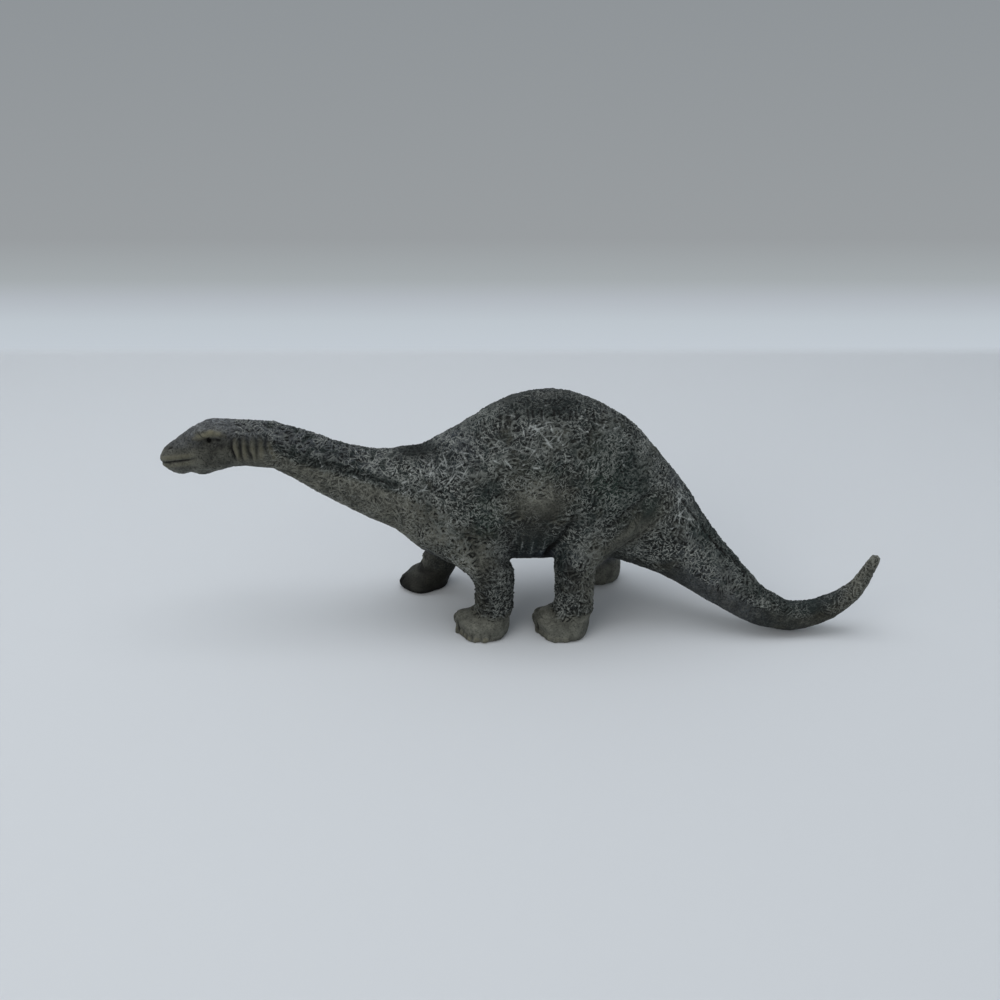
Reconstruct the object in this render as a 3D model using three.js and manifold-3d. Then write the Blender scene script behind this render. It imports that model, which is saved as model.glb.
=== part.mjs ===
// A toy long-necked dinosaur that stands on four legs: soft vinyl, cast solid in seven pieces and glued.
// The trunk has six sockets. The neck with its head, the tail and the four legs are cast apart, because
// no two-part mould opens round a striding leg, and each has a plug that is glued into its socket.
// Millimetres, +Z up. The snout points to -X and the animal's left side to -Y. The origin is on the
// ground, under the middle of the figure's length and width.

import * as THREE from "three";
import { mergeVertices } from "three/addons/utils/BufferGeometryUtils.js";
import Module from "manifold-3d";

const wasm = await Module();
wasm.setup();

// Trunk: from the neck's seat to the tail's seat.
const trunkLength = 130;
const trunkDepth = 89.4;
const trunkWidth = 67;
const bellyClearance = 32;
const crestHeight = 0.9; // the low ridge over the backbone

// Neck: from the head's joint to the neck's seat.
const neckReach = 81;
const neckRise = 26.6;
const neckBaseDepth = 44;
const neckBaseWidth = 37;
const neckTopDepth = 24;
const neckTopWidth = 17.4;
const foldCount = 4; // loose folds of skin behind the head
const foldPitch = 4.25;
const foldDepth = 0.9;

// Head: from the joint to the snout.
const headLength = 37;
const headDepth = 27;
const headWidth = 19;
const mouthLength = 17;
const mouthRise = 2.8; // from the front to the corner
const mouthGap = 0.8;
const lipDepth = 0.9;
const browLength = 12.4;
const browHeight = 4.4;
const browWidth = 3.6;
const browTurn = THREE.MathUtils.degToRad(6);
const eyeDiameter = 3.2;
const eyeSocketLength = 7.6;
const eyeSocketHeight = 4.6;
const eyeSocketDepth = 1.1;
const nostrilLength = 2.6;
const nostrilWidth = 1.3;
const nostrilTurn = THREE.MathUtils.degToRad(29);
const throatLength = 12.6;
const throatWidth = 10.6;
const throatDepth = 6;

// Tail: from its seat to the tip. It swings to the left and comes down to the ground.
const tailReach = 110.4;
const tailBaseDepth = 51;
const tailBaseWidth = 44;
const tailSwing = 33;
const tailTipHeight = 41.6;
const tailGroundGap = 1.4;
const tailTipDiameter = 4.8;

// Legs. A girdle is the shoulder or the hip that carries a leg.
const shoulderSetback = 26.2; // behind the neck's seat
const shoulderHeight = 54;
const elbowHeight = 30;
const foreLegHeight = 84; // to the top of the shoulder
const hipInset = 28.9; // ahead of the tail's seat
const hipHeight = 58;
const kneeHeight = 36;
const hindLegHeight = 97; // to the top of the hip
const ankleHeight = 16;
const girdleSpread = 20.5; // from the middle of the body to a girdle
const crownSpread = 9; // from the middle of the body to the top of a shoulder or hip
const foreStance = 25.5; // from the middle of the body to a forefoot
const hindStance = 27.6;
const foreLegLength = 20; // of the shin, from front to back
const foreLegWidth = 20;
const hindLegLength = 20.2;
const hindLegWidth = 21;
const footLength = 29.4;
const footWidth = 23.8;
const footHeight = 12;

// How far each sole, ankle and elbow or knee stands behind its shoulder or hip.
const leftForeSetbacks = [13.2, 19.4, 19.5];
const rightForeSetbacks = [-17.4, -8.5, -3.5];
const leftHindSetbacks = [-21, -14.8, -14.5];
const rightHindSetbacks = [4.2, 6.5, 2];

// Toes and nails.
const toeCount = 5;
const toeLength = 9;
const toeWidth = 6;
const toeHeight = 9;
const toeReach = 0.2; // past the foot's own edge
const nailLength = 2.6;
const nailWidth = 3.6;
const nailHeight = 4.6;

// Seats, plugs and sockets.
const coreWidth = 25; // of the trunk, between its left and right leg seats
const slotMargin = 1.4; // from a leg to the edge of its slot in the trunk
const seatGap = 0.3;
const plugTaper = 1.2;
const neckPlugLength = 14;
const neckPlugDepth = 22;
const neckPlugWidth = 17;
const tailPlugLength = 16;
const tailPlugDepth = 28;
const tailPlugWidth = 17;
const legPlugLength = 7;
const legPlugHeight = 19;
const legPlugBreadth = 15;

// Facets.
const pointsAround = 24;
const ringsPerSpan = 3;
const ringsPerShortSpan = 2;
const ringsPerFold = 4;
const legPoints = 15;
const ringsPerLegSpan = 2;
const plugPoints = 16;
const toeSegments = 6;
const nailSegments = 5;
const faceSegments = 9;
const cutOverrun = 2;

// Places worked out from the sizes above.
const figureLength = headLength + neckReach + trunkLength + tailReach;
const snoutX = -figureLength / 2;
const headJointX = snoutX + headLength;
const neckSeatX = headJointX + neckReach;
const tailSeatX = neckSeatX + trunkLength;
const shoulderX = neckSeatX + shoulderSetback;
const hipX = tailSeatX - hipInset;
const neckSeatHeight = bellyClearance + 0.434 * trunkDepth;
const tailSeatHeight = bellyClearance + 0.197 * trunkDepth;
const headHeight = neckSeatHeight + neckRise;

// Turns any closed three.js geometry into a solid.
function solid(geometry) {
  const bare = geometry.clone();
  bare.deleteAttribute("normal");
  bare.deleteAttribute("uv");
  const merged = mergeVertices(bare, 1e-4);
  return new wasm.Manifold(
    new wasm.Mesh({
      numProp: 3,
      vertProperties: new Float32Array(merged.attributes.position.array),
      triVerts: new Uint32Array(merged.index.array),
    }),
  );
}

function join(solids) {
  return solids.reduce((all, next) => all.add(next));
}

// A closed skin over rings of points. Each ring turns anticlockwise when seen from the last ring.
function skinOver(rings) {
  const around = rings[0].length;
  const middle = (ring) => ring.reduce((sum, p) => sum.add(p), new THREE.Vector3()).divideScalar(around);
  const points = [...rings.flat(), middle(rings[0]), middle(rings.at(-1))];
  const first = rings.length * around;
  const faces = [];
  for (let j = 0; j < around; j++) {
    const next = (j + 1) % around;
    for (let i = 0; i + 1 < rings.length; i++) {
      const a = i * around + j;
      const b = i * around + next;
      faces.push(a, b, a + around, b, b + around, a + around);
    }
    const last = first - around;
    faces.push(first, next, j, first + 1, last + j, last + next);
  }
  return new THREE.BufferGeometry().setFromPoints(points).setIndex(faces);
}

// A smooth curve through the stations' values, three at a time, with the same t at the same station.
function through(stations, pick) {
  return new THREE.CatmullRomCurve3(
    stations.map((s) => new THREE.Vector3(...pick(s))),
    false,
    "catmullrom",
  );
}

// One section of the body: an oval, narrower above than below, with the crest on top. The section
// leans by an angle in the X-Z plane, and faces along the body's own path.
function bodyRing(centre, along, halfDepth, halfWidth, lean, swell) {
  const pinch = 0.09;
  const crestSharpness = 40;
  const rise = new THREE.Vector3(Math.sin(lean), 0, Math.cos(lean));
  const side = new THREE.Vector3().crossVectors(rise, along).normalize();
  return Array.from({ length: pointsAround }, (_, k) => {
    const turn = (2 * Math.PI * k) / pointsAround;
    const outward = Math.cos(turn);
    const upward = Math.sin(turn);
    const crest = crestHeight * Math.min(1, halfDepth / trunkDepth) * Math.max(0, upward) ** crestSharpness;
    return centre
      .clone()
      .addScaledVector(side, outward * (halfWidth * (1 - pinch * upward) + swell))
      .addScaledVector(rise, halfDepth * upward + crest);
  });
}

// Head sections: share of the length ahead of the joint, of the depth above the joint's middle, of the
// depth and of the width.
const headShares = [
  [1.0, -0.245, 0.08, 0.13],
  [0.978, -0.26, 0.23, 0.38],
  [0.905, -0.247, 0.44, 0.59],
  [0.768, -0.22, 0.635, 0.73],
  [0.588, -0.135, 0.82, 0.84],
  [0.399, -0.065, 0.965, 0.95],
  [0.228, -0.025, 1.0, 1.0],
];

// Neck sections between the folds and the seat: share of the reach behind the joint, of the rise that
// is left, of the way from the top's size to the base's, and the lean in degrees.
const neckShares = [
  [0.272, 0.89, 0, 10],
  [0.405, 0.707, 0.09, 19],
  [0.538, 0.491, 0.205, 24],
  [0.682, 0.297, 0.37, 22],
  [0.836, 0.124, 0.62, 16],
];

// Trunk sections: share of the length behind the neck's seat, of the depth above the belly line, of
// the depth and the width, and the lean.
const trunkShares = [
  [0.084, 0.382, 0.627, 0.71, 3],
  [0.174, 0.372, 0.741, 0.84, -4],
  [0.299, 0.417, 0.835, 0.93, -6],
  [0.429, 0.478, 0.947, 0.98, -4],
  [0.559, 0.5, 1.0, 1.0, 2],
  [0.684, 0.475, 0.945, 0.985, 8],
  [0.799, 0.405, 0.841, 0.91, 18],
  [0.904, 0.297, 0.688, 0.79, 27],
];

// Tail sections: share of the reach, of the way down from the seat to the ground line, of the swing,
// of the base's depth and width, and the lean.
const tailShares = [
  [0.15, 0.312, 0.35, 0.7, 0.75, 37],
  [0.29, 0.575, 0.65, 0.54, 0.58, 31],
  [0.45, 0.863, 0.91, 0.393, 0.43, 14],
  [0.53, 0.94, 0.97, 0.352, 0.386, 4],
  [0.607, 1.0, 1.0, 0.306, 0.345, -5],
];

// The tail's end, past its lowest point: share of the reach, of the rise to the tip, of the swing, of
// the way from the thickness at the ground to the tip's, and the lean.
const tailEndShares = [
  [0.703, 0.033, 1.0, 0.185, -14],
  [0.783, 0.13, 1.0, 0.28, -24],
  [0.856, 0.3, 1.0, 0.49, -38],
  [0.911, 0.48, 0.985, 0.66, -46],
  [0.947, 0.73, 0.97, 0.85, -62],
  [0.978, 1.0, 0.955, 1.0, -80],
];

function mix(a, b, share) {
  return THREE.MathUtils.lerp(a, b, share);
}

// Every section from the snout to the tip of the tail.
function bodyStations() {
  const station = (x, y, z, depth, width, lean, rings = ringsPerSpan) => ({
    centre: [x, y, z],
    sizes: [depth / 2, width / 2, THREE.MathUtils.degToRad(lean)],
    rings,
  });
  const head = headShares.map(([ahead, rise, depth, width]) =>
    station(
      headJointX - ahead * headLength,
      0,
      headHeight + rise * headDepth,
      depth * headDepth,
      width * headWidth,
      0,
      ringsPerShortSpan,
    ),
  );
  const foldEndX = headJointX + foldCount * foldPitch;
  const folds = [
    station(headJointX, 0, headHeight, neckTopDepth, neckTopWidth, 0, foldCount * ringsPerFold),
    station(foldEndX, 0, headHeight - 0.05 * neckRise, neckTopDepth, neckTopWidth, 5),
  ];
  const neck = neckShares.map(([along, rise, growth, lean]) =>
    station(
      headJointX + along * neckReach,
      0,
      neckSeatHeight + rise * neckRise,
      mix(neckTopDepth, neckBaseDepth, growth),
      mix(neckTopWidth, neckBaseWidth, growth),
      lean,
    ),
  );
  const neckSeat = station(neckSeatX, 0, neckSeatHeight, neckBaseDepth, neckBaseWidth, 8);
  const trunk = trunkShares.map(([along, height, depth, width, lean]) =>
    station(
      neckSeatX + along * trunkLength,
      0,
      bellyClearance + height * trunkDepth,
      depth * trunkDepth,
      width * trunkWidth,
      lean,
    ),
  );
  const tailSeat = station(tailSeatX, -0.1 * tailSwing, tailSeatHeight, tailBaseDepth, tailBaseWidth, 33);
  const [, , , groundDepthShare, groundWidthShare] = tailShares.at(-1);
  const groundDepth = groundDepthShare * tailBaseDepth;
  const groundWidth = groundWidthShare * tailBaseWidth;
  const lowest = tailGroundGap + groundDepth / 2;
  const tail = tailShares.map(([along, drop, swing, depth, width, lean]) =>
    station(
      tailSeatX + along * tailReach,
      -swing * tailSwing,
      mix(tailSeatHeight, lowest, drop),
      depth * tailBaseDepth,
      width * tailBaseWidth,
      lean,
    ),
  );
  const tailEnd = tailEndShares.map(([along, rise, swing, thinning, lean]) =>
    station(
      tailSeatX + along * tailReach,
      -swing * tailSwing,
      mix(lowest, tailTipHeight, rise),
      mix(groundDepth, tailTipDiameter, thinning),
      mix(groundWidth, tailTipDiameter, thinning),
      lean,
      ringsPerShortSpan,
    ),
  );
  return { head, folds, neck, neckSeat, trunk, tailSeat, tail, tailEnd };
}

// The body in one piece, from snout to tail, before it is parted at its seats.
function wholeBody(parts) {
  const stations = [
    ...parts.head,
    ...parts.folds,
    ...parts.neck,
    parts.neckSeat,
    ...parts.trunk,
    parts.tailSeat,
    ...parts.tail,
    ...parts.tailEnd,
  ];
  const centres = through(stations, (s) => s.centre);
  const sizes = through(stations, (s) => s.sizes);
  const rings = [];
  stations.forEach((station, i) => {
    const steps = i + 1 < stations.length ? station.rings : 1;
    for (let k = 0; k < steps; k++) {
      const t = (i + k / steps) / (stations.length - 1);
      const size = sizes.getPoint(t);
      const swell = station === parts.folds[0] ? foldDepth * Math.sin((Math.PI * k) / ringsPerFold) ** 2 : 0;
      rings.push(bodyRing(centres.getPoint(t), centres.getTangent(t), size.x, size.y, size.z, swell));
    }
  });
  return solid(skinOver(rings));
}

// A ball stretched to three sizes, with its centre over a point, turned in plan.
function ellipsoid(place, height, [length, width, depth], turn, segments) {
  const ball = new THREE.SphereGeometry(0.5, segments, Math.ceil(segments * 0.7));
  ball.scale(length, width, depth).rotateZ(turn).translate(place.x, place.y, height);
  return solid(ball);
}

// A straight block between two corners.
function block(low, high) {
  const size = new THREE.Vector3().subVectors(high, low);
  const middle = new THREE.Vector3().addVectors(low, high).divideScalar(2);
  return solid(new THREE.BoxGeometry(size.x, size.y, size.z).translate(middle.x, middle.y, middle.z));
}

// Foot sections: share of the foot's height, length and width, and of the way from sole to ankle.
const foreFootShares = [
  [0, 0.9, 0.9, 0],
  [0.45, 0.985, 0.98, 0],
  [0.7, 0.93, 0.97, 0.08],
  [0.86, 0.81, 0.9, 0.45],
  [1.04, 0.71, 0.84, 0.84],
];
const reachingFootShares = [
  [0, 0.9, 0.9, 0],
  [0.25, 0.94, 0.98, 0],
  [0.49, 0.9, 0.97, 0.2],
  [0.725, 0.82, 0.9, 0.5],
  [0.88, 0.71, 0.84, 0.8],
];
const hindFootShares = [
  [0, 0.91, 0.9, 0],
  [0.4, 0.985, 0.98, 0],
  [0.8, 0.97, 0.97, 0.08],
  [0.98, 0.87, 0.9, 0.42],
  [1.14, 0.74, 0.84, 0.86],
];

// Leg sections above the foot: share of the leg's height, and of its shin's length and width.
const foreLegShares = [
  [0.18, 0.99, 1.0],
  [0.25, 0.97, 0.98],
  [0.335, 1.0, 1.0],
  [0.43, 1.24, 1.06],
  [0.525, 1.62, 1.12],
  [0.64, 1.84, 1.15],
  [0.76, 1.78, 1.12],
  [0.88, 1.4, 0.95],
  [1.0, 0.6, 0.5],
];
const hindLegShares = [
  [0.185, 0.96, 0.98],
  [0.25, 0.98, 0.98],
  [0.31, 1.0, 0.98],
  [0.39, 1.07, 1.03],
  [0.475, 1.4, 1.1],
  [0.577, 1.8, 1.16],
  [0.7, 1.9, 1.14],
  [0.825, 1.55, 0.97],
  [0.93, 1.05, 0.72],
  [1.0, 0.5, 0.4],
];

// One leg's joints, from the ground up. Side is -1 for the left and 1 for the right.
function legJoints(side, girdleX, heights, stance, setbacks) {
  const [bendHeight, girdleHeight, crownHeight] = heights;
  const [sole, ankle, bend] = setbacks;
  return [
    new THREE.Vector3(girdleX + sole, side * stance, 0),
    new THREE.Vector3(girdleX + ankle, side * mix(stance, girdleSpread, 0.1), ankleHeight),
    new THREE.Vector3(girdleX + bend, side * mix(stance, girdleSpread, 0.35), bendHeight),
    new THREE.Vector3(girdleX, side * girdleSpread, girdleHeight),
    new THREE.Vector3(girdleX, side * crownSpread, crownHeight),
  ];
}

// The centre of a leg at a height, eased from joint to joint.
function alongLeg(joints, height) {
  const upper = Math.max(
    1,
    joints.findIndex((joint) => joint.z >= height),
  );
  const [below, above] = [joints[upper - 1], joints[upper]];
  const share = THREE.MathUtils.smoothstep(height, below.z, above.z);
  return new THREE.Vector3().lerpVectors(below, above, share).setZ(height);
}

function legStations(joints, footShares, shares, shinLength, shinWidth) {
  const legHeight = joints.at(-1).z;
  const station = (centre, length, width) => ({
    centre: centre.toArray(),
    sizes: [length / 2, width / 2, 0],
  });
  const [sole, ankle] = joints;
  return [
    ...footShares.map(([up, length, width, back]) =>
      station(
        sole.clone().lerp(ankle, back).setZ(up * footHeight),
        length * footLength,
        width * footWidth,
      ),
    ),
    ...shares.map(([up, length, width]) =>
      station(alongLeg(joints, up * legHeight), length * shinLength, width * shinWidth),
    ),
  ];
}

function levelRing(centre, halfLength, halfWidth, count) {
  return Array.from({ length: count }, (_, k) => {
    const turn = (2 * Math.PI * k) / count;
    return centre.clone().add(new THREE.Vector3(halfLength * Math.cos(turn), halfWidth * Math.sin(turn), 0));
  });
}

function legShaft(stations) {
  const centres = through(stations, (s) => s.centre);
  const sizes = through(stations, (s) => s.sizes);
  const steps = (stations.length - 1) * ringsPerLegSpan;
  const rings = Array.from({ length: steps + 1 }, (_, i) => {
    const size = sizes.getPoint(i / steps);
    return levelRing(centres.getPoint(i / steps), size.x, size.y, legPoints);
  });
  return solid(skinOver(rings));
}

// Toes stand round the front and the outer side of the foot, each with a blunt nail.
function toes(sole, side) {
  const spread = THREE.MathUtils.degToRad(21);
  const turnOut = THREE.MathUtils.degToRad(50);
  const grown = [];
  for (let k = 0; k < toeCount; k++) {
    const angle = Math.PI - side * turnOut + side * (k - (toeCount - 1) / 2) * spread;
    const heading = new THREE.Vector3(Math.cos(angle), Math.sin(angle), 0);
    const edge = new THREE.Vector3(
      (Math.cos(angle) * footLength) / 2,
      (Math.sin(angle) * footWidth) / 2,
      0,
    );
    const tip = sole.clone().add(edge).addScaledVector(heading, toeReach);
    const toe = tip.clone().addScaledVector(heading, -toeLength / 2);
    const nail = tip.clone().addScaledVector(heading, -nailLength * 0.3);
    grown.push(
      ellipsoid(toe, toeHeight * 0.3, [toeLength, toeWidth, toeHeight], angle, toeSegments),
      ellipsoid(nail, nailHeight * 0.3, [nailLength, nailWidth, nailHeight], angle, nailSegments),
    );
  }
  return grown;
}

// The space that belongs to one leg: its own outline with a margin, from the leg's seat outwards.
function legZone(leg, grow) {
  const seat = coreWidth / 2 - grow;
  const depth = trunkWidth;
  const margin = slotMargin + grow;
  const edge = (forward) =>
    leg.stations.map(({ centre: [x, , z], sizes: [halfLength] }, i) => {
      const spare = i < foreFootShares.length ? margin + toeLength / 2 : margin;
      return new THREE.Vector2(x + forward * (halfLength + spare), i === 0 ? -cutOverrun : z);
    });
  const top = leg.joints.at(-1);
  const crown = new THREE.Vector2(top.x, top.z + margin);
  const slot = new THREE.ExtrudeGeometry(new THREE.Shape([...edge(1), crown, ...edge(-1).reverse()]), {
    depth,
    bevelEnabled: false,
  });
  // The extrusion runs along +Z from the X-Y plane, and a quarter turn lays it along -Y.
  slot.rotateX(Math.PI / 2).translate(0, leg.side < 0 ? -seat : seat + depth, 0);
  return solid(slot);
}

// An oval plug along -Z from the X-Y plane, with its rim taken in towards the end.
function plug(depth, width, length, grow) {
  const rings = [
    [-length - grow, plugTaper],
    [-length + plugTaper, 0],
    [cutOverrun, 0],
  ].map(([z, inset]) =>
    levelRing(
      new THREE.Vector3(0, 0, z),
      depth / 2 + grow - inset,
      width / 2 + grow - inset,
      plugPoints,
    ),
  );
  return skinOver(rings);
}

// Stands a geometry on a seat: its Z runs along the outward normal, and its X along the rise.
function placed(geometry, seat, outward, rise) {
  const side = new THREE.Vector3().crossVectors(outward, rise);
  const frame = new THREE.Matrix4().makeBasis(rise, side, outward).setPosition(seat);
  return solid(geometry.applyMatrix4(frame));
}

// The space beyond a seat, as a long block that stands on it.
function beyond({ seat, outward, rise }, below, grow) {
  const length = figureLength;
  const above = figureLength / 2;
  const slab = new THREE.BoxGeometry(above + below, trunkWidth * 2, length + grow);
  slab.translate((above - below) / 2, 0, (length - grow) / 2);
  return placed(slab, seat, outward, rise);
}

function meshOf(name, piece, material) {
  const { vertProperties, triVerts } = piece.getMesh();
  const geometry = new THREE.BufferGeometry();
  geometry.setAttribute("position", new THREE.BufferAttribute(vertProperties, 3));
  geometry.setIndex(new THREE.BufferAttribute(triVerts, 1));
  geometry.computeVertexNormals();
  const mesh = new THREE.Mesh(geometry, material);
  mesh.name = name;
  return mesh;
}

// Places on the head: share of the length ahead of the joint, of the depth above it, and of the width
// from the middle.
const browPlaceShares = [0.3, 0.31, 0.34];
const eyePlaceShares = [0.286, 0.178, 0.385];
const socketPlaceShares = [0.25, 0.172, 0.48];
const nostrilPlaceShares = [0.81, 0, 0.2];
const throatPlaceShares = [0.455, -0.49, 0];
const lipPlaceShares = [1, -0.3, 0];

// The head's own features: brows, eyes in shallow sockets, nostrils, throat and mouth.
function withFace(body, stations) {
  const at = ([ahead, above, outward], side) =>
    new THREE.Vector3(
      headJointX - ahead * headLength,
      side * outward * headWidth,
      headHeight + above * headDepth,
    );
  const knob = (place, sizes, turn) => ellipsoid(place, place.z, sizes, turn, faceSegments);
  const added = [knob(at(throatPlaceShares, 0), [throatLength, throatWidth, throatDepth], 0)];
  const cut = [];
  for (const side of [-1, 1]) {
    added.push(
      knob(at(browPlaceShares, side), [browLength, browWidth, browHeight], -side * browTurn),
      knob(at(eyePlaceShares, side), [eyeDiameter, eyeDiameter, eyeDiameter], 0),
    );
    cut.push(
      knob(at(socketPlaceShares, side), [eyeSocketLength, eyeSocketDepth * 2, eyeSocketHeight], 0),
      knob(at(nostrilPlaceShares, side), [nostrilLength, nostrilWidth, nostrilWidth], -side * nostrilTurn),
    );
  }
  // The mouth is a groove round the front of the head, not a slit through it. It rises to its corners.
  const lip = at(lipPlaceShares, 0);
  const slope = Math.atan2(mouthRise, mouthLength);
  const gap = new THREE.BoxGeometry(mouthLength + cutOverrun, headWidth * 2, mouthGap);
  gap.translate((mouthLength - cutOverrun) / 2, 0, 0);
  gap.rotateY(-slope).translate(lip.x, 0, lip.z);
  const slit = solid(gap);
  const core = skinOver(
    stations.map(({ centre: [x, y, z], sizes: [halfDepth, halfWidth] }) =>
      bodyRing(
        new THREE.Vector3(x + lipDepth, y, z),
        new THREE.Vector3(1, 0, 0),
        Math.max(halfDepth - lipDepth, halfDepth / 2),
        Math.max(halfWidth - lipDepth, halfWidth / 2),
        0,
        0,
      ),
    ),
  );
  const groove = slit.subtract(solid(core));
  return body.subtract(join(cut)).subtract(groove).add(join(added));
}

const skin = new THREE.MeshStandardMaterial({ color: 0x414a49, roughness: 0.72, metalness: 0 });
const paleSkin = new THREE.MeshStandardMaterial({ color: 0x575548, roughness: 0.74, metalness: 0 });

// The body and the legs are modelled whole, and parted afterwards.
const parts = bodyStations();
const body = withFace(wholeBody(parts), parts.head);
const foreHeights = [elbowHeight, shoulderHeight, foreLegHeight];
const hindHeights = [kneeHeight, hipHeight, hindLegHeight];
const legs = [
  ["left_foreleg", -1, true, leftForeSetbacks, foreFootShares],
  ["right_foreleg", 1, true, rightForeSetbacks, reachingFootShares],
  ["left_hind_leg", -1, false, leftHindSetbacks, hindFootShares],
  ["right_hind_leg", 1, false, rightHindSetbacks, hindFootShares],
].map(([name, side, fore, setbacks, footShares]) => {
  const joints = fore
    ? legJoints(side, shoulderX, foreHeights, foreStance, setbacks)
    : legJoints(side, hipX, hindHeights, hindStance, setbacks);
  const stations = fore
    ? legStations(joints, footShares, foreLegShares, foreLegLength, foreLegWidth)
    : legStations(joints, footShares, hindLegShares, hindLegLength, hindLegWidth);
  return { name, side, joints, stations };
});
const underground = block(
  new THREE.Vector3(-figureLength, -figureLength, -figureLength),
  new THREE.Vector3(figureLength, figureLength, 0),
);
const limbs = legs.flatMap(({ joints, stations, side }) => [legShaft(stations), ...toes(joints[0], side)]);
const figure = join([body, ...limbs]).subtract(underground);

// A seat of the neck or the tail: a point, the way out of the trunk and the way up.
function endSeat(station, forward) {
  const lean = station.sizes[2];
  const outward = new THREE.Vector3(Math.cos(lean), 0, -Math.sin(lean));
  return {
    seat: new THREE.Vector3(...station.centre),
    outward: outward.multiplyScalar(forward ? -1 : 1),
    rise: new THREE.Vector3(Math.sin(lean), 0, Math.cos(lean)),
  };
}

const neckEnd = endSeat(parts.neckSeat, true);
const tailEnd = endSeat(parts.tailSeat, false);
const neckZone = (grow) => beyond(neckEnd, neckBaseDepth * 0.6, grow);
const tailZone = (grow) => beyond(tailEnd, tailBaseDepth * 0.58, grow);
const neckPlug = (grow) =>
  placed(
    plug(neckPlugDepth, neckPlugWidth, neckPlugLength, grow),
    neckEnd.seat,
    neckEnd.outward,
    neckEnd.rise,
  );
const tailPlug = (grow) =>
  placed(
    plug(tailPlugDepth, tailPlugWidth, tailPlugLength, grow),
    tailEnd.seat.clone().setY(0),
    tailEnd.outward,
    tailEnd.rise,
  );
const legPlug = ({ side, joints }, grow) => {
  const girdle = joints[3];
  return placed(
    plug(legPlugHeight, legPlugBreadth, legPlugLength, grow),
    new THREE.Vector3(girdle.x, (side * coreWidth) / 2, girdle.z),
    new THREE.Vector3(0, side, 0),
    new THREE.Vector3(0, 0, 1),
  );
};

const legSpace = join(legs.map((leg) => legZone(leg, seatGap)));
const neck = body.intersect(neckZone(0)).add(neckPlug(0));
const tail = body.intersect(tailZone(0)).subtract(legSpace).add(tailPlug(0));
const legPieces = legs.map((leg) => figure.intersect(legZone(leg, 0)).add(legPlug(leg, 0)));
const hollows = [
  neckZone(seatGap),
  tailZone(seatGap),
  neckPlug(seatGap),
  tailPlug(seatGap),
  legSpace,
  ...legs.map((leg) => legPlug(leg, seatGap)),
];
const trunk = figure.subtract(join(hollows));

const group = new THREE.Group();
group.add(
  meshOf("trunk", trunk, skin),
  meshOf("neck_and_head", neck, skin),
  meshOf("tail", tail, skin),
  ...legs.map((leg, i) => meshOf(leg.name, legPieces[i], paleSkin)),
);

export default group;
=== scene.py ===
# %% [markdown]
# A toy long-necked dinosaur, cast in soft vinyl and painted by hand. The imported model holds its
# seven castings as smooth solids. This script lays the sculpted and painted skin over them. It
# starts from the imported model, so that every piece comes out in the place and the size that the
# solids have.

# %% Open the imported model
import math

import bmesh
import bpy
import numpy as np
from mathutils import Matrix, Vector, noise
from mathutils.bvhtree import BVHTree
from mathutils.kdtree import KDTree


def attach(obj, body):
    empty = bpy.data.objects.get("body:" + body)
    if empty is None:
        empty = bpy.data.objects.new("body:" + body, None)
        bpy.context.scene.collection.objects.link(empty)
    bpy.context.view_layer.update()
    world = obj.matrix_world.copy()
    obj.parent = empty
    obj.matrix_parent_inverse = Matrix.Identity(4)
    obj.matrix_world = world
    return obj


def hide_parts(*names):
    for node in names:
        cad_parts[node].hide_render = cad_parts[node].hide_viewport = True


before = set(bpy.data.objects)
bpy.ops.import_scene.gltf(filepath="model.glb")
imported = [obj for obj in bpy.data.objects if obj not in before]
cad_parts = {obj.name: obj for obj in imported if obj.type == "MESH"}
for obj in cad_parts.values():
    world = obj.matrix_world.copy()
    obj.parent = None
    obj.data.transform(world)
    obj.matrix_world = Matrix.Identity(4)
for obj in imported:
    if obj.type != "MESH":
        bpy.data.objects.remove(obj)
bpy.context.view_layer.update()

MM = 0.001  # the scene is in metres, and the sculpting below is in millimetres
print("nodes:", sorted(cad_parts))

# %% [markdown]
# The camera looks down on the toy from in front of its left flank, as a person who stands at a
# table does. A lens as long as its sensor is wide gives the plain view of a phone's main camera.
# Blender turns a camera from straight down, so an angle of 90 degrees would look at the horizon.

# %% Camera
CAMERA_PLACE = (-0.0356, -0.4633, 0.285)  # metres
LOOK_DOWN = 25.6  # degrees
LOOK_ASIDE = -3.0
LENS = SENSOR_WIDTH = 36  # mm

camera = bpy.data.objects.new("camera", bpy.data.cameras.new("camera"))
camera.data.lens = LENS
camera.data.sensor_width = SENSOR_WIDTH
camera.location = CAMERA_PLACE
camera.rotation_euler = (math.radians(90 - LOOK_DOWN), 0, math.radians(LOOK_ASIDE))
bpy.context.scene.collection.objects.link(camera)
bpy.context.scene.camera = camera
print("camera is", round(camera.location.length, 3), "m from the toy's origin")

# %% [markdown]
# Paint colours are easiest to name as hex values, the way a colour picker shows them. The renderer
# reckons in light, which is not spaced like those values, so one function turns each hex value into
# light. Every colour in this script goes through it.


# %% Colour and node helpers
def paint(code):
    """A hex colour as linear light, with an alpha of 1."""
    shares = [int(code[i : i + 2], 16) / 255 for i in (1, 3, 5)]
    light = [s / 12.92 if s <= 0.04045 else ((s + 0.055) / 1.055) ** 2.4 for s in shares]
    return (*light, 1.0)


def add_node(tree, kind, values=(), links=(), **settings):
    """Adds one node. Values and links go to its inputs by name or number."""
    node = tree.nodes.new(kind)
    for name, value in settings.items():
        setattr(node, name, value)
    for name, value in dict(values).items():
        node.inputs[name].default_value = value
    for name, output in dict(links).items():
        tree.links.new(output, node.inputs[name])
    return node


def new_material(name):
    """An empty material with its node tree and output."""
    material = bpy.data.materials.new(name)
    material.use_nodes = True
    tree = material.node_tree
    tree.nodes.clear()
    return material, tree, add_node(tree, "ShaderNodeOutputMaterial")


print("a mid grey as light:", [round(v, 3) for v in paint("#808080")[:3]])

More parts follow.
